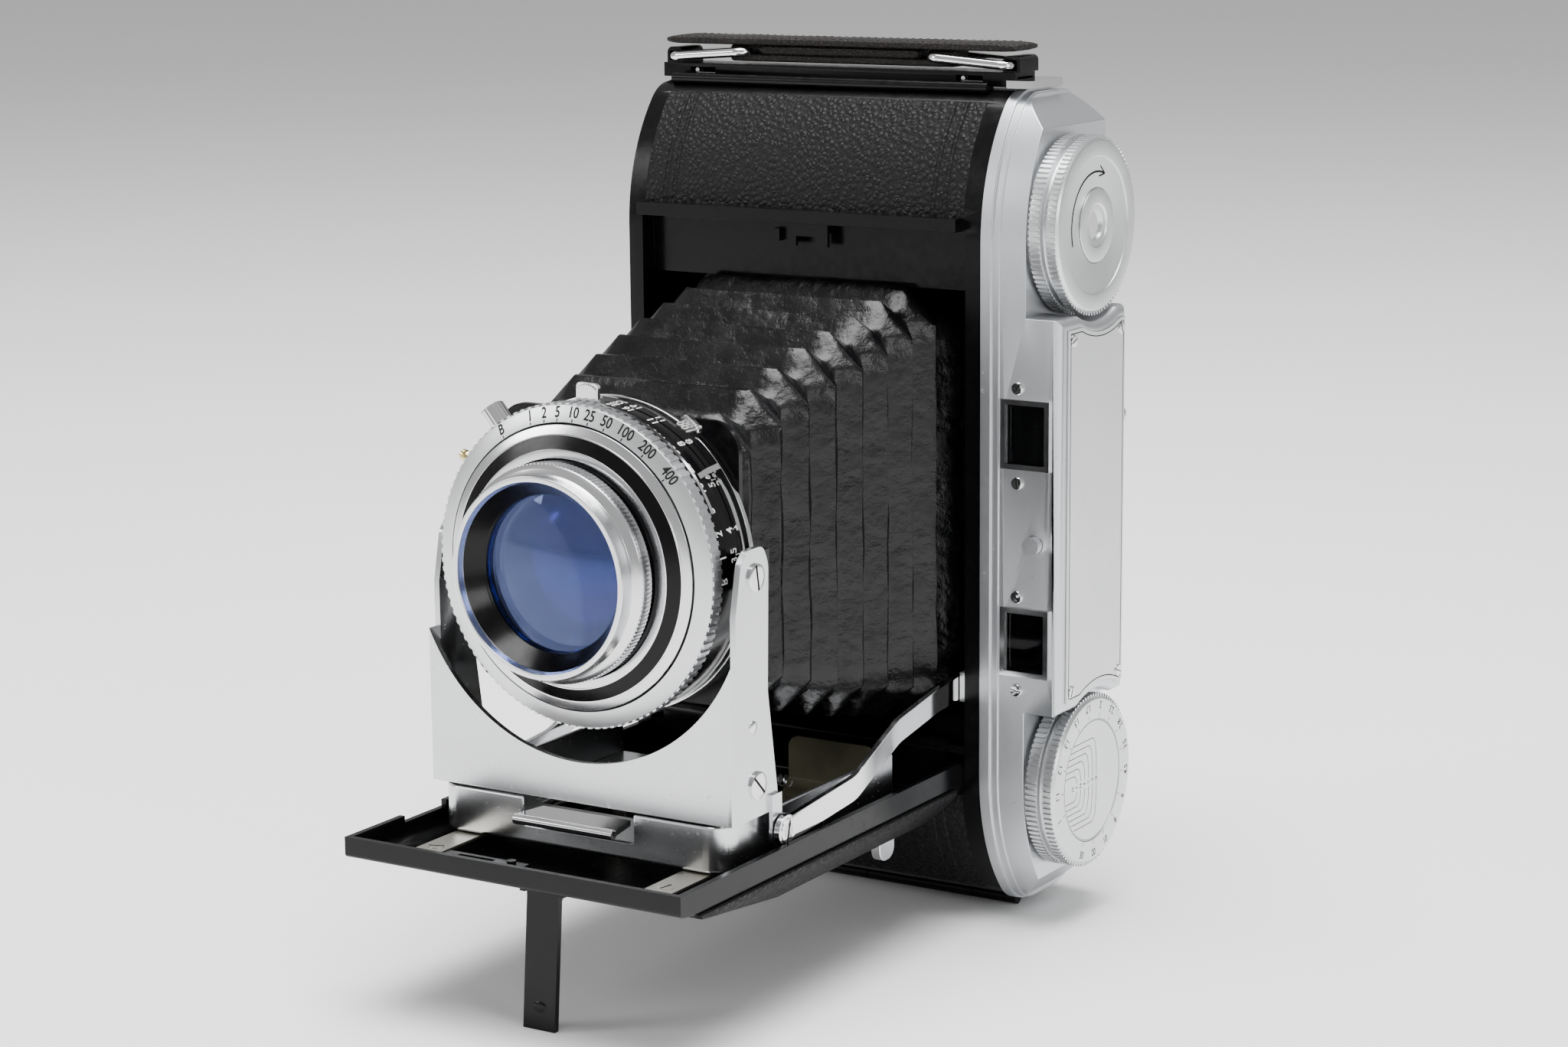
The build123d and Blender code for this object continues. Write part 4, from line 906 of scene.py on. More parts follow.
@dataclass
class Housing:
    """Plated top housing, its label plate with a painted shadow line, its screws, and dark boxes of painted
    shade behind the finder windows.
    """

    top: float = 100.5
    front: float = -17.2
    windows: tuple[float, ...] = (16.65, -25.15)

    def build(self) -> None:
        """Make the housing."""
        softened("top_housing", (Look.HOUSING,), 0.55, 3)
        softened("housing_plate", (Look.BRUSHED,), 0.1, 1)
        self._painted_edge_shadow()
        self._screws()
        self._shade_boxes()

    def _painted_edge_shadow(self) -> None:
        """Thin dark line round the plate, following the cut-outs for the knobs: painted shadow along the
        plate's edge.
        """
        # Black ink standing for the shadow at the plate's edge.
        marks = Marks("plate_painted_edge_shadow", Look.BLACK_INK, 0.02)
        x, steps = self.top + 0.4, 28
        low, high = -13.5, 9.6
        across = [low + (high - low) * k / steps for k in range(steps + 1)]
        ends = [(y, min(36.6, 56.5 - math.sqrt(21.7 ** 2 - y ** 2))) for y in across]
        path = [Vector((x, y, z)) for y, z in ends] + [Vector((x, y, -z)) for y, z in reversed(ends)]
        marks.line(path + path[:2], 0.22, Vector((1, 0, 0)))
        marks.finish("housing_plate")

    def _screws(self) -> None:
        """Slotted screws on the plate's corners and between the windows."""
        screws = Screws("housing_screw_heads")
        up = Vector((0, 0, 1))
        for index, (y, z) in enumerate(((-12.3, 35.2), (-12.3, -35.2), (8.6, 35.2), (8.6, -35.2))):
            screws.head(standing(Vector((self.top + 0.38, y, z)), Vector((1, 0, 0)), up), 1.2, 0.25,
                        20 + 47 * index)
        for index, z in enumerate((25.8, 6.9, -16.0, -35.0)):
            place = standing(Vector((91.2, self.front, z)), Vector((0, -1, 0)), up)
            screws.head(place, 1.25, 0.5, 55 + 38 * index)
        screws.finish("housing_screws", ("housing_screws",))

    def _shade_boxes(self) -> None:
        """Dark boxes behind the finder windows, so that they look deep: painted shade inside the finder."""
        work = bmesh.new()
        for z in self.windows:
            made = bmesh.ops.create_cube(work, size=1.0)["verts"]
            size = Matrix.Diagonal((9.6 * MM, 0.4 * MM, 12.8 * MM, 1.0))
            spot = Matrix.Translation(Vector((93.0, self.front + 4.6, z)) * MM)
            bmesh.ops.transform(work, matrix=spot @ size, verts=made)
        # The boxes paint the shade behind the windows.
        settle(piece_from("window_shade_boxes", work, (Look.MATT,)), "rangefinder_block")


@dataclass
class Knobs:
    """Winding knob with its arrow, and focusing knob with its distance dial."""

    foot: float = 92.95
    height: float = 6.7
    radius: float = 17.8
    tooth_height: float = 0.45
    centre_z: float = 56.5
    teeth: int = 96
    face_radius: float = 13.6
    face_depth: float = 0.3
    bore: float = 2.9

    def profile(self, recess: float, depth: float, bore: float) -> list[tuple[float, float]]:
        """Corners of a two-disc knob."""
        foot, top, r = self.foot, self.foot + self.height, self.radius - self.tooth_height
        return [(bore, foot), (r - 1.6, foot), (r - 1.6, foot + 0.4), (r, foot + 0.5), (r, foot + 2.9),
                (r - 1.2, foot + 3.0), (r - 1.2, foot + 4.2), (r, foot + 4.3), (r, top - 0.6),
                (r - 0.6, top),
                (recess, top), (recess, top - depth), (bore, top - depth)]

    def knurl(self, name: str, like: str, z: float) -> None:
        """Fine teeth on both discs."""
        for index, (low, high) in enumerate(((0.55, 2.85), (4.4, 6.2))):
            place = about_knob(self.foot + (low + high) / 2, z)
            RingTree.piece(f"{name}_{index}", like, place, self.teeth, self.radius - 0.31,
                           (0.6, high - low, 0.62), Look.KNOB)

    def build(self) -> None:
        """Make both knobs."""
        face = self.foot + self.height
        knob = turned("wind_knob_shape", plain(self.profile(self.face_radius, self.face_depth,
                                                            self.bore)), (Look.KNOB,),
                      (0, 0, self.centre_z), Axis.X, 0.15)
        settle(knob, "wind_knob", ("wind_knob",))
        hub = turned("wind_knob_hub", plain([(4.0, face - 0.4), (7.3, face - 0.4), (7.3, face),
                                             (4.4, face)]),
                     (Look.KNOB,), (0, 0, self.centre_z), Axis.X, 0.1)
        settle(hub, "wind_knob")
        well = turned("wind_knob_well", plain([(0.0, face - 1.6), (4.1, face - 1.6), (4.1, face - 0.9),
                                               (0.0, face - 0.9)]),
                      (Look.BRIGHT,), (0, 0, self.centre_z), Axis.X, 0.0)
        settle(well, "wind_knob")
        self.knurl("wind_knob_teeth", "wind_knob", self.centre_z)
        self._arrow(face - self.face_depth)
        focus = turned("focus_knob_shape", plain(self.profile(12.6, 1.6, 1.56)), (Look.KNOB,),
                       (0, 0, -self.centre_z), Axis.X, 0.15)
        settle(focus, "focus_knob", ("focus_knob",))
        self.knurl("focus_knob_teeth", "focus_knob", -self.centre_z)
        self._distances(face)
        self._depth_lines(face - 0.1)

    def _arrow(self, x: float) -> None:
        """A curved arrow on the winding knob's face."""
        normal = Vector((1, 0, 0))
        marks = Marks("wind_arrow", Look.BLACK_INK, 0.015)
        centre = Vector((x, 0, self.centre_z))
        path = [centre + Vector((0, -10.6 * math.sin(math.radians(a)), 10.6 * math.cos(math.radians(a))))
                for a in range(108, -21, -4)]
        marks.line(path, 0.42, normal)
        tip = path[-1]
        for side in (-1, 1):
            back = (path[-3] - tip).normalized() * 2.6
            edge = Matrix.Rotation(math.radians(24 * side), 3, "X") @ back
            marks.line([tip, tip + edge], 0.34, normal)
        marks.line([centre + 7.45 * Vector((0, math.cos(a / 20), math.sin(a / 20))) for a in range(0,
                127)], 0.12, normal)
        marks.finish("wind_knob")

    def _distances(self, x: float) -> None:
        """Distance figures round the focusing knob's rim."""
        marks = Marks("distance_figures", Look.BLACK_INK, 0.012)
        labels = ("1", "1.1", "1.2", "1.3", "1.5", "1.7", "2", "2.3", "2.8", "3.5", "4.5", "6", "8",
                  "10", "20", "30")
        normal = Vector((1, 0, 0))
        for index, label in enumerate(labels):
            turn = math.radians(200 - index * 20.5)
            away = Vector((0, math.cos(turn), math.sin(turn)))
            centre = Vector((x, 0, -self.centre_z))
            marks.number(label, 1.55, standing(centre + 15.5 * away, normal, -away), 0.8)
            marks.bar(0.14, 0.9, standing(centre + 13.3 * away, normal, away))
        marks.finish("focus_knob")

    def _depth_lines(self, x: float) -> None:
        """Nested depth-of-field lines and their apertures on the fixed dial."""
        marks = Marks("depth_lines", Look.BLACK_INK, 0.012)
        normal = Vector((1, 0, 0))
        for index, aperture in enumerate(("3.5", "4", "5.6", "8", "11", "16", "22")):
            reach = 1.0 + 1.32 * index
            y = -8.6 + 1.75 * index
            edge = -math.sqrt(max(12.2 ** 2 - reach ** 2, 0.0))
            path = []
            for side in (1, -1):
                spread = reach * 0.93 + 0.5
                run = [Vector((x, edge if side > 0 else edge + 0.2, side * spread)),
                       Vector((x, y - 1.5, side * spread)),
                       Vector((x, y - 0.5, side * spread * 0.86)), Vector((x, y, side * spread * 0.5))]
                if index > 0:
                    run.append(Vector((x, y + 0.1, side * 0.85)))
                path = [point + Vector((0, 0, -self.centre_z)) for point in run]
                if index > 0:
                    marks.line(path, 0.16, normal)
            place = standing(Vector((x, y, -self.centre_z)), normal, Vector((0, -1, 0)))
            marks.number(aperture, 0.85, place, 0.75)
        marks.line([Vector((x, 12.3 * math.cos(a / 20), 12.3 * math.sin(a / 20) - self.centre_z))
                    for a in range(0, 127)],
                   0.12, normal)
        marks.finish("focus_dial")


@dataclass
class StrapGroup:
    """Carrying strap with its stitching, the rail under it and the latch tab."""

    low: float = 89.95
    left: float = 0.6
    right: float = 82.5
    middle_y: float = 2.25
    half: float = 5.5

    def build(self) -> None:
        """Make the strap and its metalwork."""
        softened("strap_rail", (Look.BLACK,), 0.22, 2)
        softened("latch_slide", (Look.BRIGHT,), 0.25, 2)
        self._strap()
        self._stitches()
        for name in ("left_link", "right_link"):
            frame["nodes"][name].data.materials[0] = Look.BRIGHT.material

    def _strap(self) -> None:
        """Two layers of leather: a padded upper one and a lower one with the wire loops."""
        work = bmesh.new()
        across, along = 12, 96

        def layer(x0: float, x1: float, half: float, low: float, high: float, waist: float) -> None:
            """One closed layer with rounded edges, slightly wavy."""
            rows = []
            for i in range(along + 1):
                t = i / along
                x = x0 + (x1 - x0) * t
                end = min(1.0, math.sqrt(max(0.0, 1 - (1 - min(t, 1 - t) * along / 4) ** 2)) if min(t,
                        1 - t) * along < 4 else 1.0)
                wide = half * (0.9 + 0.1 * end) - waist * math.sin(math.pi * t) ** 2
                ring = []
                for k in range(2 * across):
                    angle = 2 * math.pi * k / (2 * across)
                    c, s = math.cos(angle), math.sin(angle)
                    power = 0.42
                    y = wide * math.copysign(abs(c) ** power, c)
                    z = (high - low) / 2 * (0.55 + 0.45 * end) * math.copysign(abs(s) ** power, s)
                    wobble = 0.12 * noise.noise(Vector((x * 0.14, y * 0.2, low))) if 0 < i < along else 0.0
                    ring.append(work.verts.new(Vector((x, self.middle_y + y,
                                                       (low + high) / 2 + z + wobble * (z > 0))) * MM))
                rows.append(ring)
            for first, second in zip(rows, rows[1:]):
                for k in range(2 * across):
                    work.faces.new((first[k], first[(k + 1) % (2 * across)],
                                    second[(k + 1) % (2 * across)], second[k]))
            work.faces.new(rows[0][::-1])
            work.faces.new(rows[-1])

        layer(self.left, self.right, self.half, self.low, self.low + 1.75, 0.35)
        layer(16.4, 66.8, 4.3, self.low - 3.4, self.low - 1.7, 0.3)
        layer(15.8, 20.6, 4.3, self.low - 3.4, self.low + 0.2, 0.0)
        layer(62.6, 67.4, 4.3, self.low - 3.4, self.low + 0.2, 0.0)
        layer(23.0, 60.2, 4.3, self.low - 2.0, self.low + 0.2, 0.2)
        settle(piece_from("strap_leather_layers", work, (Look.STRAP,)), "carrying_strap",
               ("carrying_strap",))

    def _stitches(self) -> None:
        """Rows of stitches along both edges of the strap."""
        work = bmesh.new()
        for side in (-1, 1):
            for index in range(44):
                x = 4.0 + index * 1.74
                waist = 0.35 * math.sin(math.pi * (x - self.left) / (self.right - self.left)) ** 2
                spot = Matrix.Translation(Vector((x, self.middle_y + side * (self.half - 1.0 - waist),
                                                  self.low + 1.74)) * MM)
                made = bmesh.ops.create_icosphere(work, subdivisions=1, radius=1.0)["verts"]
                bmesh.ops.transform(work, matrix=spot @ Matrix.Diagonal((0.5 * MM, 0.17 * MM, 0.06 * MM,
                                                                         1)), verts=made)
        settle(piece_from("strap_stitches", work, (Look.THREAD,)), "carrying_strap")


@dataclass
class BellowsFolds:
    """Pleated leather bellows between the film gate and the lens panel."""

    back: float = 6.5
    front: float = -82.2
    stations: tuple[Point, ...] = ((6.5, 30.4, 42.2), (-17.0, 29.3, 43.0), (-26.5, 28.8, 40.4),
                                   (-41.0, 28.0, 37.4),
                                   (-53.0, 27.2, 34.4), (-66.0, 26.2, 30.6), (-77.0, 24.8, 26.2),
                                   (-82.2, 24.0, 24.0))
    pleats: int = 10
    depth: float = 4.4
    sleeve: float = 17.0

    def half_at(self, y: float) -> tuple[float, float]:
        """Half width and half height of the taper at a distance along the lens axis."""
        for (y0, x0, z0), (y1, x1, z1) in zip(self.stations, self.stations[1:]):
            if y >= y1:
                t = min(1.0, max(0.0, (y0 - y) / (y0 - y1)))
                return x0 + (x1 - x0) * t, z0 + (z1 - z0) * t
        return self.stations[-1][1:]

    def ring(self, y: float, swell: float, chamfer: float, seed: float, sized: float) -> list[Vector]:
        """Points round one fold line: a rectangle with cut corners and slight waviness.

        Args:
            y: Distance along the lens axis in millimetres.
            swell: How far this line stands out from the taper.
            chamfer: How much of each corner is cut.
            seed: Varies the waviness.
            sized: Distance along the lens axis whose taper size is used.

        Returns:
            The points in order.
        """
        half_x, half_z = (value + swell for value in self.half_at(sized))
        corners = [(half_x, -half_z + chamfer), (half_x, half_z - chamfer), (half_x - chamfer, half_z),
                   (-half_x + chamfer, half_z), (-half_x, half_z - chamfer), (-half_x, -half_z + chamfer),
                   (-half_x + chamfer, -half_z), (half_x - chamfer, -half_z)]
        steps = (14, 3, 12, 3, 14, 3, 12, 3)
        points = []
        for index, (x, z) in enumerate(corners):
            after = corners[(index + 1) % 8]
            for step in range(steps[index]):
                t = step / steps[index]
                px, pz = x + (after[0] - x) * t, z + (after[1] - z) * t
                sag = noise.noise(Vector((px * 0.12, pz * 0.12, seed))) * 0.55
                fine = noise.noise(Vector((px * 0.45, pz * 0.45, seed * 3.1))) * 0.22
                points.append(Vector((LENS_X + px * (1 + 0.010 * sag), y + sag + fine,
                                      pz * (1 + 0.010 * sag))))
        return points

    def shell(self, name: str, start: float, end: float, shrink: float, depth: float,
              tube: bool) -> bpy.types.Object:
        """A closed, thin pleated shell between two distances.

        Args:
            name: The piece's name.
            start: Rear distance in millimetres.
            end: Front distance in millimetres.
            shrink: How far it lies inside the taper.
            depth: Depth of its pleats in millimetres.
            tube: Keep the front end's size all along.

        Returns:
            The new piece.
        """
        work = bmesh.new()
        pitch = (self.back - self.front) / self.pleats
        count = max(2, round((start - end) / pitch * 8))
        rings: list[list[bmesh.types.BMVert]] = []
        for inner in (0.0, 0.7):
            rows = []
            for index in range(count + 1):
                y = start + (end - start) * index / count
                phase = ((self.back - y) / pitch) % 1.0
                crest = 1 - abs(2 * phase - 1)
                crest = min(1.0, crest * 1.08)
                swell = (crest - 0.72) * depth - shrink - inner
                chamfer = 1.2 + 6.2 * crest
                rows.append(self.ring(y, swell, max(0.5, chamfer), 7.3 + round(y / pitch * 2) * 0.8,
                                      self.front if tube else y))
            if inner:
                rows.reverse()
            rings.extend([[work.verts.new(point * MM) for point in row] for row in rows])
        for first, second in zip(rings, rings[1:] + rings[:1]):
            size = len(first)
            for k in range(size):
                work.faces.new((first[k], first[(k + 1) % size], second[(k + 1) % size], second[k]))
        piece = piece_from(name, work, (Look.BELLOWS,), 0.0)
        edge_look(piece.data, 44.0)
        return piece

    def build(self) -> None:
        """Make the folding part and the front sleeve nested in it."""
        folds = self.shell("bellows_folds", self.back, self.front + 0.6, 0.0, self.depth, False)
        settle(folds, "bellows", ("bellows",))
        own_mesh(folds)
        sleeve = self.shell("bellows_sleeve", self.front + self.sleeve, self.front + 0.1, 4.9, 1.1, True)
        settle(sleeve, "lens_panel", ())
        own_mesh(sleeve)


@dataclass
class Shutter:
    """Shutter case, speed ring with its figures, front cap and levers."""

    front: float = FRONT - 80.0
    speeds: tuple[tuple[str, float], ...] = (("B", 122.3), ("1", 107.9), ("2", 101.3), ("5", 95.2),
                                             ("10", 88.2),
                                             ("25", 81.1), ("50", 73.6), ("100", 64.9), ("200", 54.1),
                                             ("400", 41.5))
    apertures: tuple[tuple[str, float], ...] = (("22", 84.0), ("16", 77.0), ("11", 66.0), ("8", 52.0),
                                                ("5.6", 35.0),
                                                ("4", 16.0), ("3.5", 7.0))

    def build(self) -> None:
        """Make the shutter."""
        self._case()
        self._ring()
        self._cap()
        self._side_figures()
        self._levers()

    def _case(self) -> None:
        """Black case with bright edges front and back."""
        y, back = self.front, FRONT - 66.2
        case = turned("shutter_case_shape", [(16.8, back, 0), (29.55, back, 0), (29.55, y, 0),
                                             (20.9, y, 0), (20.9, y + 1, 0),
                      (28.6, y + 1, 0), (28.6, back - 1, 0), (16.8, back - 1, 0)], (Look.SHUTTER,),
                      (LENS_X, 0, 0))
        settle(case, "shutter_case", ("shutter_case",))
        rear = turned("shutter_rear_ring", plain([(29.5, back - 0.1), (30.35, back - 0.1),
                                                  (30.35, back - 1.3), (29.5, back - 1.3)]),
                      (Look.BRIGHT,), (LENS_X, 0, 0))
        settle(rear, "shutter_case", ())
        guide = turned("aperture_guide", plain([(29.5, FRONT - 68.9), (30.1, FRONT - 68.9),
                                                (30.1, FRONT - 69.4), (29.5, FRONT - 69.4)]),
                       (Look.BRIGHT,), (LENS_X, 0, 0), radius=0.05)
        settle(guide, "shutter_case", ())

    def _ring(self) -> None:
        """Plated speed ring, toothed round its edge, with engraved figures."""
        y = self.front
        ring = turned("speed_ring_shape", plain([(27.2, y - 0.1), (29.75, y - 0.1), (29.75, y + 2.3),
                                                 (30.35, y + 2.3),
                      (30.35, y - 0.85), (27.2, y - 1.95)]), (Look.KNOB,), (LENS_X, 0, 0))
        settle(ring, "speed_ring", ("speed_ring",))
        RingTree.piece("speed_ring_teeth", "speed_ring", about_lens(y + 0.75), 110, 30.42,
                       (0.5, 2.9, 0.85), Look.SATIN)
        marks = Marks("speed_figures", Look.BLACK_INK, 0.03)
        for label, angle in self.speeds:
            away = outward(angle)
            slope = (away * 3.15 + Vector((0, 1.1, 0))).normalized()
            normal = (away * 1.1 - Vector((0, 3.15, 0))).normalized()
            spot = on_lens(angle, 29.0, self.face_at(29.0))
            marks.number(label, 2.15, standing(spot, normal, slope), 0.8, 0.055)
            marks.bar(0.24, 0.6, standing(on_lens(angle, 27.6, self.face_at(27.6)), normal, slope))
        marks.finish("speed_ring")

    def face_at(self, radius: float) -> float:
        """Where the speed ring's sloping face lies at a radius."""
        return self.front - 1.95 + (radius - 27.2) * 1.1 / 3.15

    def _cap(self) -> None:
        """Front cap: a plated band, a black band and a plated band."""
        y = self.front
        cap = turned("front_cap_shape", [(20.85, y, 0), (27.0, y, 0), (26.85, y - 2.2, 0),
                                         (25.1, y - 2.75, 1), (22.4, y - 3.85, 2),
                     (20.85, y - 3.95, 2)], (Look.TURNED, Look.SHUTTER, Look.TURNED), (LENS_X, 0, 0),
                     radius=0.1)
        settle(cap, "front_cap", ("front_cap",))
        for name, radius, along in (("cap_edge_outer", 25.1, y - 2.78), ("cap_edge_inner", 22.4, y - 3.88)):
            edge = turned(name, plain([(radius - 0.12, along), (radius + 0.12, along + 0.06),
                                       (radius + 0.12, along - 0.1),
                          (radius - 0.12, along - 0.14)]), (Look.BRIGHT,), (LENS_X, 0, 0), radius=0.03)
            settle(edge, "front_cap", ())
        dots = Marks("index_dots", Look.BLACK_INK, 0.015)
        place = standing(on_lens(89, 26.0, y - 2.48), Vector((0, -1, 0)), outward(89))
        dots.number(".", 4.0, place, 1.0)
        dots.finish("front_cap")

    def _side_figures(self) -> None:
        """White figures round the case's side, read from behind the camera."""
        marks = Marks("case_figures", Look.WHITE_INK, 0.012)
        radius = 29.58
        up = Vector((0, -1, 0))
        for index, (label, _) in enumerate(reversed(self.speeds)):
            angle = 76.0 - index * 8.6
            marks.number(label, 2.0, standing(on_lens(angle, radius, self.front + 4.6), outward(angle),
                                              up), 0.85)
            marks.bar(0.18, 0.7, standing(on_lens(angle, radius, self.front + 3.2), outward(angle), up))
        for label, angle in self.apertures:
            marks.number(label, 2.0, standing(on_lens(angle, radius, self.front + 8.2), outward(angle),
                                              up), 0.85)
            marks.bar(0.18, 0.7, standing(on_lens(angle, radius, self.front + 9.6), outward(angle), up))
        marks.finish("shutter_case")

    def _levers(self) -> None:
        """Serrated tabs, the pointer, the cable socket and the small brass tip."""
        for name, like, angle, along, width in (("aperture_tab", "aperture_lever", 54.0, FRONT - 70.2, 4.6),
                                                ("cocking_tab", "cocking_lever", 88.0, FRONT - 76.8, 4.4)):
            work = bmesh.new()
            teeth = 9
            outline = [(31.0, -width / 2), (31.0, width / 2)]
            for k in range(2 * teeth + 1):
                s = width / 2 - width * k / (2 * teeth)
                outline.append((33.9 - 0.9 * abs(s / (width / 2)) ** 2 - (0.35 if k % 2 else 0.0), s))
            for side, thick in ((1, 0.7), (-1, 0.7)):
                points = [work.verts.new((on_lens(angle, r,
                        along + side * thick) + s * outward(angle + 90)) * MM) for r, s in outline]
                work.faces.new(points if side > 0 else points[::-1])
            work.verts.ensure_lookup_table()
            n = len(outline)
            for k in range(n):
                work.faces.new((work.verts[k], work.verts[(k + 1) % n], work.verts[n + (k + 1) % n],
                                work.verts[n + k]))
            settle(piece_from(name, work, (Look.BRIGHT,)), like)
        self._pointer()
        self._socket()
        self._brass()

    def _pointer(self) -> None:
        """Small arrow on the aperture lever's ring, over the scale."""
        work = bmesh.new()
        angle = 37.5
        outline = [(29.75, -70.6), (32.4, -70.9), (31.4, -73.4), (29.75, -74.4)]
        rows = []
        for side in (-0.55, 0.55):
            rows.append([work.verts.new((on_lens(angle, r,
                    FRONT + y) + side * outward(angle + 90)) * MM) for r, y in outline])
        work.faces.new(rows[0])
        work.faces.new(rows[1][::-1])
        for k in range(4):
            work.faces.new((rows[0][k], rows[0][(k + 1) % 4], rows[1][(k + 1) % 4], rows[1][k]))
        settle(piece_from("aperture_pointer", work, (Look.BRIGHT,)), "aperture_lever")

    def _socket(self) -> None:
        """Knurled cable-release socket with a hollow end."""
        angle = 130.0
        away = outward(angle)
        side = outward(angle + 90)
        origin = on_lens(angle, 29.4, FRONT - 74.5)
        work = bmesh.new()
        profile = [(1.3, 6.0), (2.3, 6.0), (2.5, 5.8), (2.5, 2.2), (1.8, 1.9), (1.8, 0.3), (1.2, 0.3),
                   (1.2, 1.0), (1.3, 1.0)]
        around = 48
        rings = []
        for index, (r, h) in enumerate(profile):
            ring = []
            for k in range(around):
                turn = 2 * math.pi * k / around
                grip = 0.12 if index in (2, 3) and k % 2 else 0.0
                spot = origin + away * h + (r - grip) * (side * math.cos(turn) + Vector((0, 1,
                        0)) * math.sin(turn))
                ring.append(work.verts.new(spot * MM))
            rings.append(ring)
        for first, second in zip(rings, rings[1:] + rings[:1]):
            for k in range(around):
                work.faces.new((first[k], first[(k + 1) % around], second[(k + 1) % around], second[k]))
        settle(piece_from("cable_socket_shape", work, (Look.BRIGHT,)), "cable_socket", ("cable_socket",))

    def _brass(self) -> None:
        """Small ribbed brass tip at the shutter's left."""
        angle, work = 150.0, bmesh.new()
        away, side = outward(angle), outward(angle + 90)
        origin = on_lens(angle, 30.0, FRONT - 73.5)
        rings = []
        for h, r in ((0.0, 0.7), (2.2, 0.7), (2.3, 1.1), (3.0, 1.2), (3.2, 0.9), (3.5, 1.2), (4.2, 1.2),
                     (4.4, 0.9), (4.7, 1.1), (5.4, 0.9)):
            rings.append([work.verts.new((origin + away * h + r * (side * math.cos(t * math.pi / 12)
                          + Vector((0, 1, 0)) * math.sin(t * math.pi / 12))) * MM) for t in range(24)])
        for first, second in zip(rings, rings[1:]):
            for k in range(24):
                work.faces.new((first[k], first[(k + 1) % 24], second[(k + 1) % 24], second[k]))
        work.faces.new(rings[0][::-1])
        work.faces.new(rings[-1])
        settle(piece_from("release_tip", work, (Look.BRASS,)), "shutter_case", ())


@dataclass
class Lens:
    """Lens barrel with its knurled band, black name ring and coated glass."""

    rim: float = FRONT - 92.9
    glass: float = 14.8

    def build(self) -> None:
        """Make the lens."""
        y = self.rim
        barrel = turned("lens_barrel_shape", [
            (14.85, y + 21.0, 1), (16.7, y + 31.0, 1), (16.7, y + 14.0, 0), (20.5, y + 14.0, 0),
            (20.5, y + 9.4, 1), (19.9, y + 9.2, 1),
            (19.9, y + 7.4, 0), (20.5, y + 7.2, 0), (20.5, y + 4.2, 0), (19.8, y + 3.7, 0),
            (18.95, y + 3.2, 0), (18.95, y, 0), (17.9, y, 0),
            (17.6, y + 1.4, 1), (15.2, y + 4.6, 1), (14.85, y + 5.0, 1)], (Look.TURNED, Look.SHUTTER),
            (LENS_X, 0, 0), radius=0.14)
        settle(barrel, "lens_barrel", ("lens_barrel",))
        RingTree.piece("barrel_knurl", "lens_barrel", about_lens(y + 5.75), 150, 20.5, (0.3, 2.5, 0.42),
                       Look.TURNED)
        self._glass()

    def _dome(self, name: str, radius: float, edge: float, bulge: float, look: Look, like: str,
              replaced: Iterable[str] = (), back: float = 1.2) -> None:
        """A round glass: a domed front and a flat back.

        Args:
            name: The piece's name.
            radius: Its radius in millimetres.
            edge: Where its rim lies along the lens axis.
            bulge: How far its middle stands in front of the rim.
            look: Its finish.
            like: The solid node it rides with.
            replaced: Solid nodes it stands for.
            back: Thickness behind the rim.
        """
        steps = 14
        profile = [(radius * k / steps, edge - bulge * (1 - (k / steps) ** 2), 0) for k in range(steps + 1)]
        profile += [(radius, edge + back, 0), (0.0, edge + back, 0)]
        piece = turned(name, profile, (look,), (LENS_X, 0, 0), radius=0.0, around=96)
        settle(piece, like, replaced)

    def _glass(self) -> None:
        """Front glass, the coloured reflections behind it and the dark barrel end."""
        y = self.rim
        self._dome("front_glass", 14.8, y + 5.4, 2.4, Look.GLASS, "front_element", ("front_element",), 0.6)
        # A tinted metal dome standing for the inner glasses: its banded tint is painted reflection.
        self._dome("inner_reflection_dome", 13.4, y + 10.0, 2.8, Look.DEPTH, "front_element")
        collar = turned("inner_collar", plain([(13.3, y + 8.4), (14.8, y + 6.4), (14.8, y + 11.5),
                                               (13.3, y + 11.5)]),
                        (Look.SHUTTER,), (LENS_X, 0, 0))
        settle(collar, "lens_barrel", ())


@dataclass
class Standard:
    """Lens standard, struts and carriage with their pivot screws."""

    head: float = 34.0

    def build(self) -> None:
        """Make the standard and everything that folds with it."""
        softened("lens_standard", (Look.STANDARD,), 0.35, 3)
        softened("focus_carriage", (Look.STANDARD,), 0.4, 3)
        softened("carriage_latch", (Look.BRIGHT,), 0.3, 3)
        softened("left_strut", (Look.BRIGHT,), 0.3, 2)
        softened("right_strut", (Look.BRIGHT,), 0.3, 2)
        screws = Screws("standard_screw_heads")
        rivets = bmesh.new()
        for side in (-1, 1):
            normal = Vector((side, 0, 0))
            for index, (y, z) in enumerate(((-72.2, 0.0), (-72.2, -39.1))):
                place = standing(Vector((LENS_X + side * self.head, FRONT + y, z)), normal,
                                 Vector((0, 0, 1)))
                screws.head(place, 2.6, 0.6, 100 + 35 * index)
            rivet = bmesh.ops.create_uvsphere(rivets, u_segments=24, v_segments=12, radius=1.0)["verts"]
            spot = Matrix.Translation(Vector((LENS_X + side * (self.head + 0.02), FRONT - 73.5, -27.9)) * MM)
            bmesh.ops.transform(rivets, matrix=spot @ Matrix.Diagonal((0.35 * MM, 1.3 * MM, 1.3 * MM,
                                                                       1)), verts=rivet)
        screws.finish("standard_screws", ("standard_screws",))
        settle(piece_from("standard_rivets", rivets, (Look.BRIGHT,)), "lens_standard")
        for side, like in ((-1, "left_strut"), (1, "right_strut")):
            pivot = Screws(f"{like}_screw")
            place = standing(Vector((LENS_X + side * 36.2, FRONT - 65.1, -49.3)), Vector((side, 0, 0)),
                             Vector((0, 0, 1)))
            pivot.head(place, 2.3, 0.2, 75, 0.3)
            pivot.finish(like)


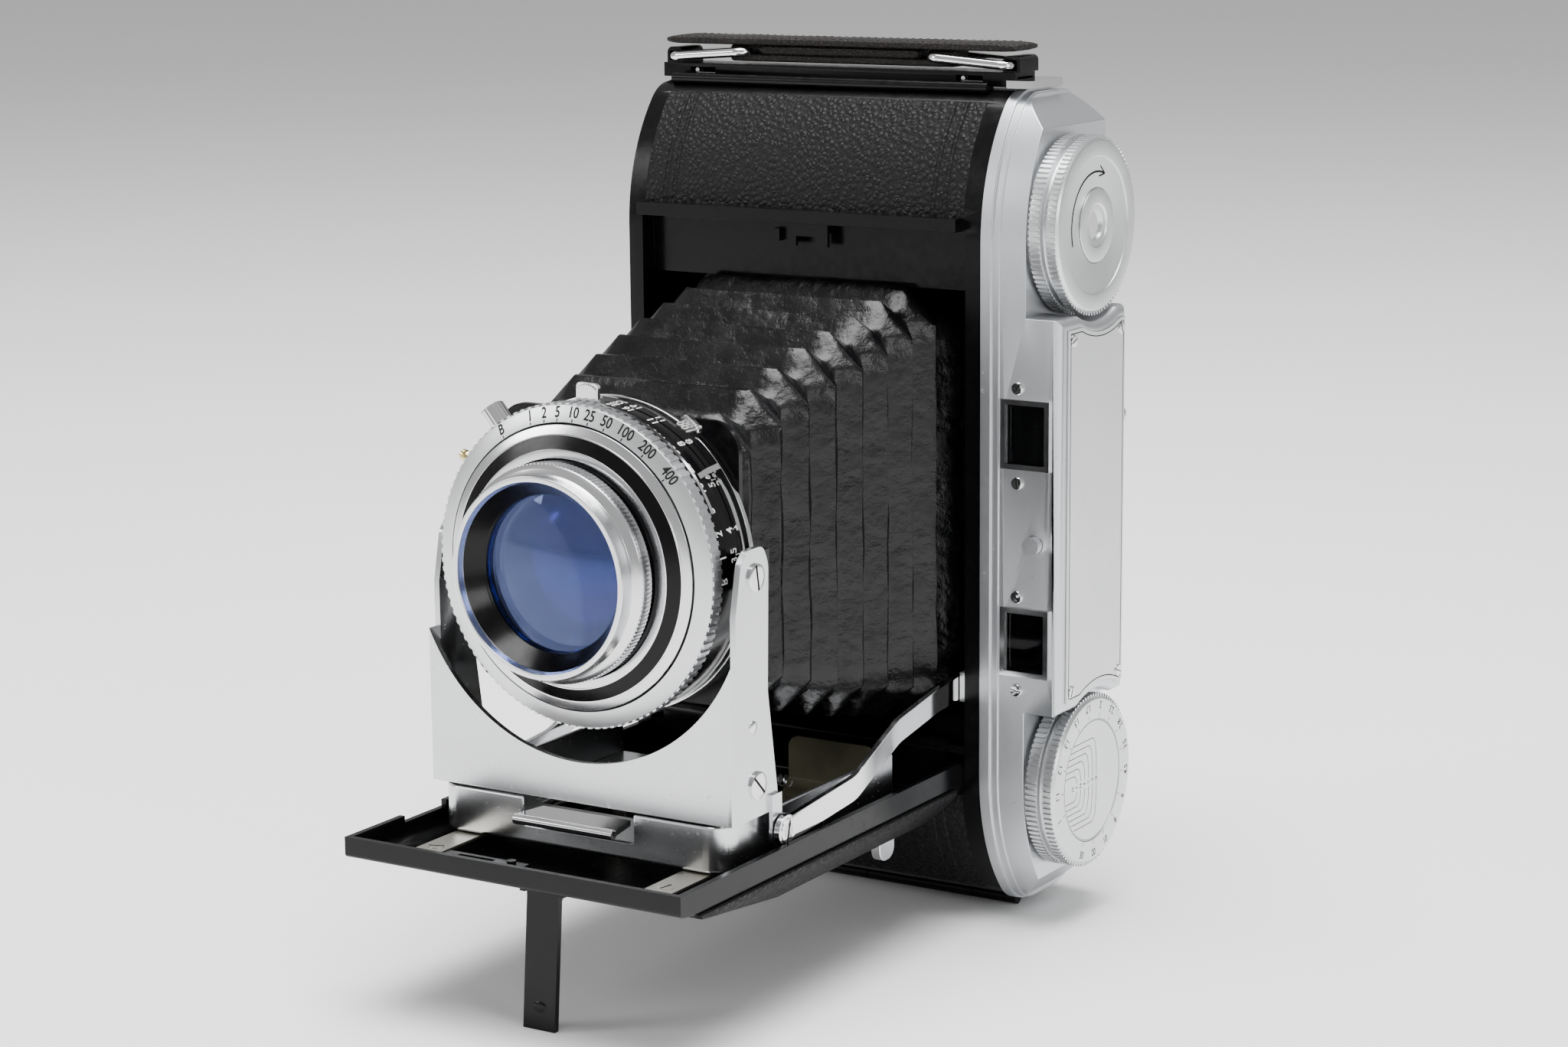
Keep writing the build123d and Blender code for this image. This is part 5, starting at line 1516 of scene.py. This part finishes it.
@dataclass
class Bed:
    """Drop bed: painted door, rails, latch block, plate, leg and release lever."""

    rail_top: float = -54.8

    def build(self) -> None:
        """Make the bed."""
        softened("door_shell", (Look.BLACK,), 0.3, 2)
        softened("bed_rails", (Look.RAIL,), 0.12, 2)
        softened("latch_block", (Look.BLACK,), 0.15, 2)
        softened("bed_plate", (Look.OLIVE,), 0.2, 2)
        softened("leg", (Look.BLACK,), 0.25, 3)
        softened("release_lever", (Look.BRIGHT,), 0.3, 3)
        screws = Screws("bed_screw_heads", Look.RAIL)
        for index, (side, y) in enumerate(((-1, -91), (1, -91), (-1, -27), (1, -27))):
            place = standing(Vector((LENS_X + side * 26, FRONT + y, self.rail_top)), Vector((0, 0, 1)),
                             Vector((0, 1, 0)))
            screws.head(place, 1.6, 0.12, 20 + 60 * index, 0.2)
        screws.finish("bed_screws", ("bed_screws",))
        self._spring()
        self._dimple()

    def _spring(self) -> None:
        """Small coil spring on a rod behind the carriage, seen under the bellows."""
        curve = bpy.data.curves.new("spring", "CURVE")
        curve.dimensions = "3D"
        curve.bevel_depth = 0.22 * MM
        curve.bevel_resolution = 2
        line = curve.splines.new("POLY")
        turns, steps = 9, 14
        line.points.add(turns * steps)
        for k in range(turns * steps + 1):
            a = 2 * math.pi * k / steps
            spot = Vector((LENS_X - 8 + 12.0 * k / (turns * steps), FRONT - 12.0 + 1.1 * math.cos(a),
                           -57.2 + 1.1 * math.sin(a))) * MM
            line.points[k].co = (*spot, 1.0)
        carrier = bpy.data.objects.new("spring", curve)
        bpy.context.scene.collection.objects.link(carrier)
        bpy.context.view_layer.update()
        mesh = bpy.data.meshes.new_from_object(carrier.evaluated_get(bpy.context.evaluated_depsgraph_get()))
        bpy.data.objects.remove(carrier)
        work = bmesh.new()
        work.from_mesh(mesh)
        settle(piece_from("bed_spring", work, (Look.SATIN,)), "bed_plate", ())

    def _dimple(self) -> None:
        """Pressed dimple near the foot of the leg."""
        work = bmesh.new()
        made = bmesh.ops.create_uvsphere(work, u_segments=24, v_segments=12, radius=1.0)["verts"]
        low, high = node_box("leg")
        spot = Vector((LENS_X * MM, low.y + 0.55 * MM, low.z + 4.2 * MM))
        bmesh.ops.transform(work, matrix=Matrix.Translation(spot) @ Matrix.Diagonal((1.9 * MM,
                0.35 * MM, 1.3 * MM, 1)), verts=made)
        settle(piece_from("leg_dimple", work, (Look.BLACK,)), "leg")


@dataclass
class Studio:
    """Pale floor, soft light and the viewing camera."""

    eye: Point = (399.15, -604.18, 131.4)
    yaw: float = 31.66
    pitch: float = 11.30
    roll: float = -0.51
    lens: float = 78.55
    ground: float = -85.45

    def build(self) -> None:
        """Make the studio."""
        self._floor()
        self._lights()
        self._camera()

    def _floor(self) -> None:
        """A wide pale floor under the camera."""
        work = bmesh.new()
        bmesh.ops.create_grid(work, x_segments=2, y_segments=2, size=6.0)
        floor = piece_from("floor", work, ())
        shade = Shading("studio_floor")
        shade.set(Base_Color=shade.tint(shade.noise(0.01, 2.0), (0.95, 0.95, 0.95), (0.97, 0.97, 0.97)),
                  Roughness=0.7)
        floor.data.materials.append(shade.material)
        floor.data.transform(Matrix.Translation((0, 0, self.ground * MM)))

    def _lights(self) -> None:
        """Large soft boxes above, left and right, and an even bright room."""
        world = bpy.data.worlds.new("studio")
        bpy.context.scene.world = world
        world.use_nodes = True
        sky = world.node_tree.nodes["Background"]
        sky.inputs[0].default_value = (1.0, 1.0, 1.0, 1.0)
        sky.inputs[1].default_value = 0.5
        target = Vector((0.05, -0.05, 0.0))
        for name, spot, size, power in (("overhead", (0.1, -0.1, 1.25), 1.0, 44.0),
                                        ("left_box", (-1.3, -1.2, 0.75), 0.6, 11.0),
                                        ("right_box", (1.5, -0.6, 0.55), 0.5, 6.0)):
            lamp = bpy.data.lights.new(name, "AREA")
            lamp.shape = "SQUARE"
            lamp.size = size
            lamp.energy = power
            holder = bpy.data.objects.new(name, lamp)
            holder.location = spot
            holder.rotation_euler = (target - Vector(spot)).to_track_quat("-Z", "Y").to_euler()
            bpy.context.scene.collection.objects.link(holder)

    def _camera(self) -> None:
        """The viewing camera, a moderately long lens from the right and above."""
        lens = bpy.data.cameras.new("view")
        lens.lens = self.lens
        lens.sensor_width = 36.0
        lens.clip_start = 0.01
        eye = bpy.data.objects.new("view", lens)
        yaw, pitch, roll = (math.radians(v) for v in (self.yaw, self.pitch, self.roll))
        ahead = Vector((-math.sin(yaw) * math.cos(pitch), math.cos(yaw) * math.cos(pitch), -math.sin(pitch)))
        right = ahead.cross(Vector((0, 0, 1))).normalized()
        up = right.cross(ahead)
        right, up = math.cos(roll) * right + math.sin(roll) * up, -math.sin(roll) * right + math.cos(roll) * up
        turn = Matrix((right, up, -ahead)).transposed()
        eye.matrix_world = Matrix.Translation(Vector(self.eye) * MM) @ turn.to_4x4()
        bpy.context.scene.collection.objects.link(eye)
        bpy.context.scene.camera = eye


def main() -> None:
    """Build every sub-assembly in order."""
    logging.basicConfig(level=logging.INFO, format="%(name)s: %(message)s")
    CarriedNodes().dress()
    for part in (Casting(), Housing(), Knobs(), StrapGroup(), BellowsFolds(), Shutter(), Lens(),
                 Standard(), Bed(), Studio()):
        part.build()
        LOG.info("%s done", type(part).__name__)


if __name__ == "__main__":
    main()
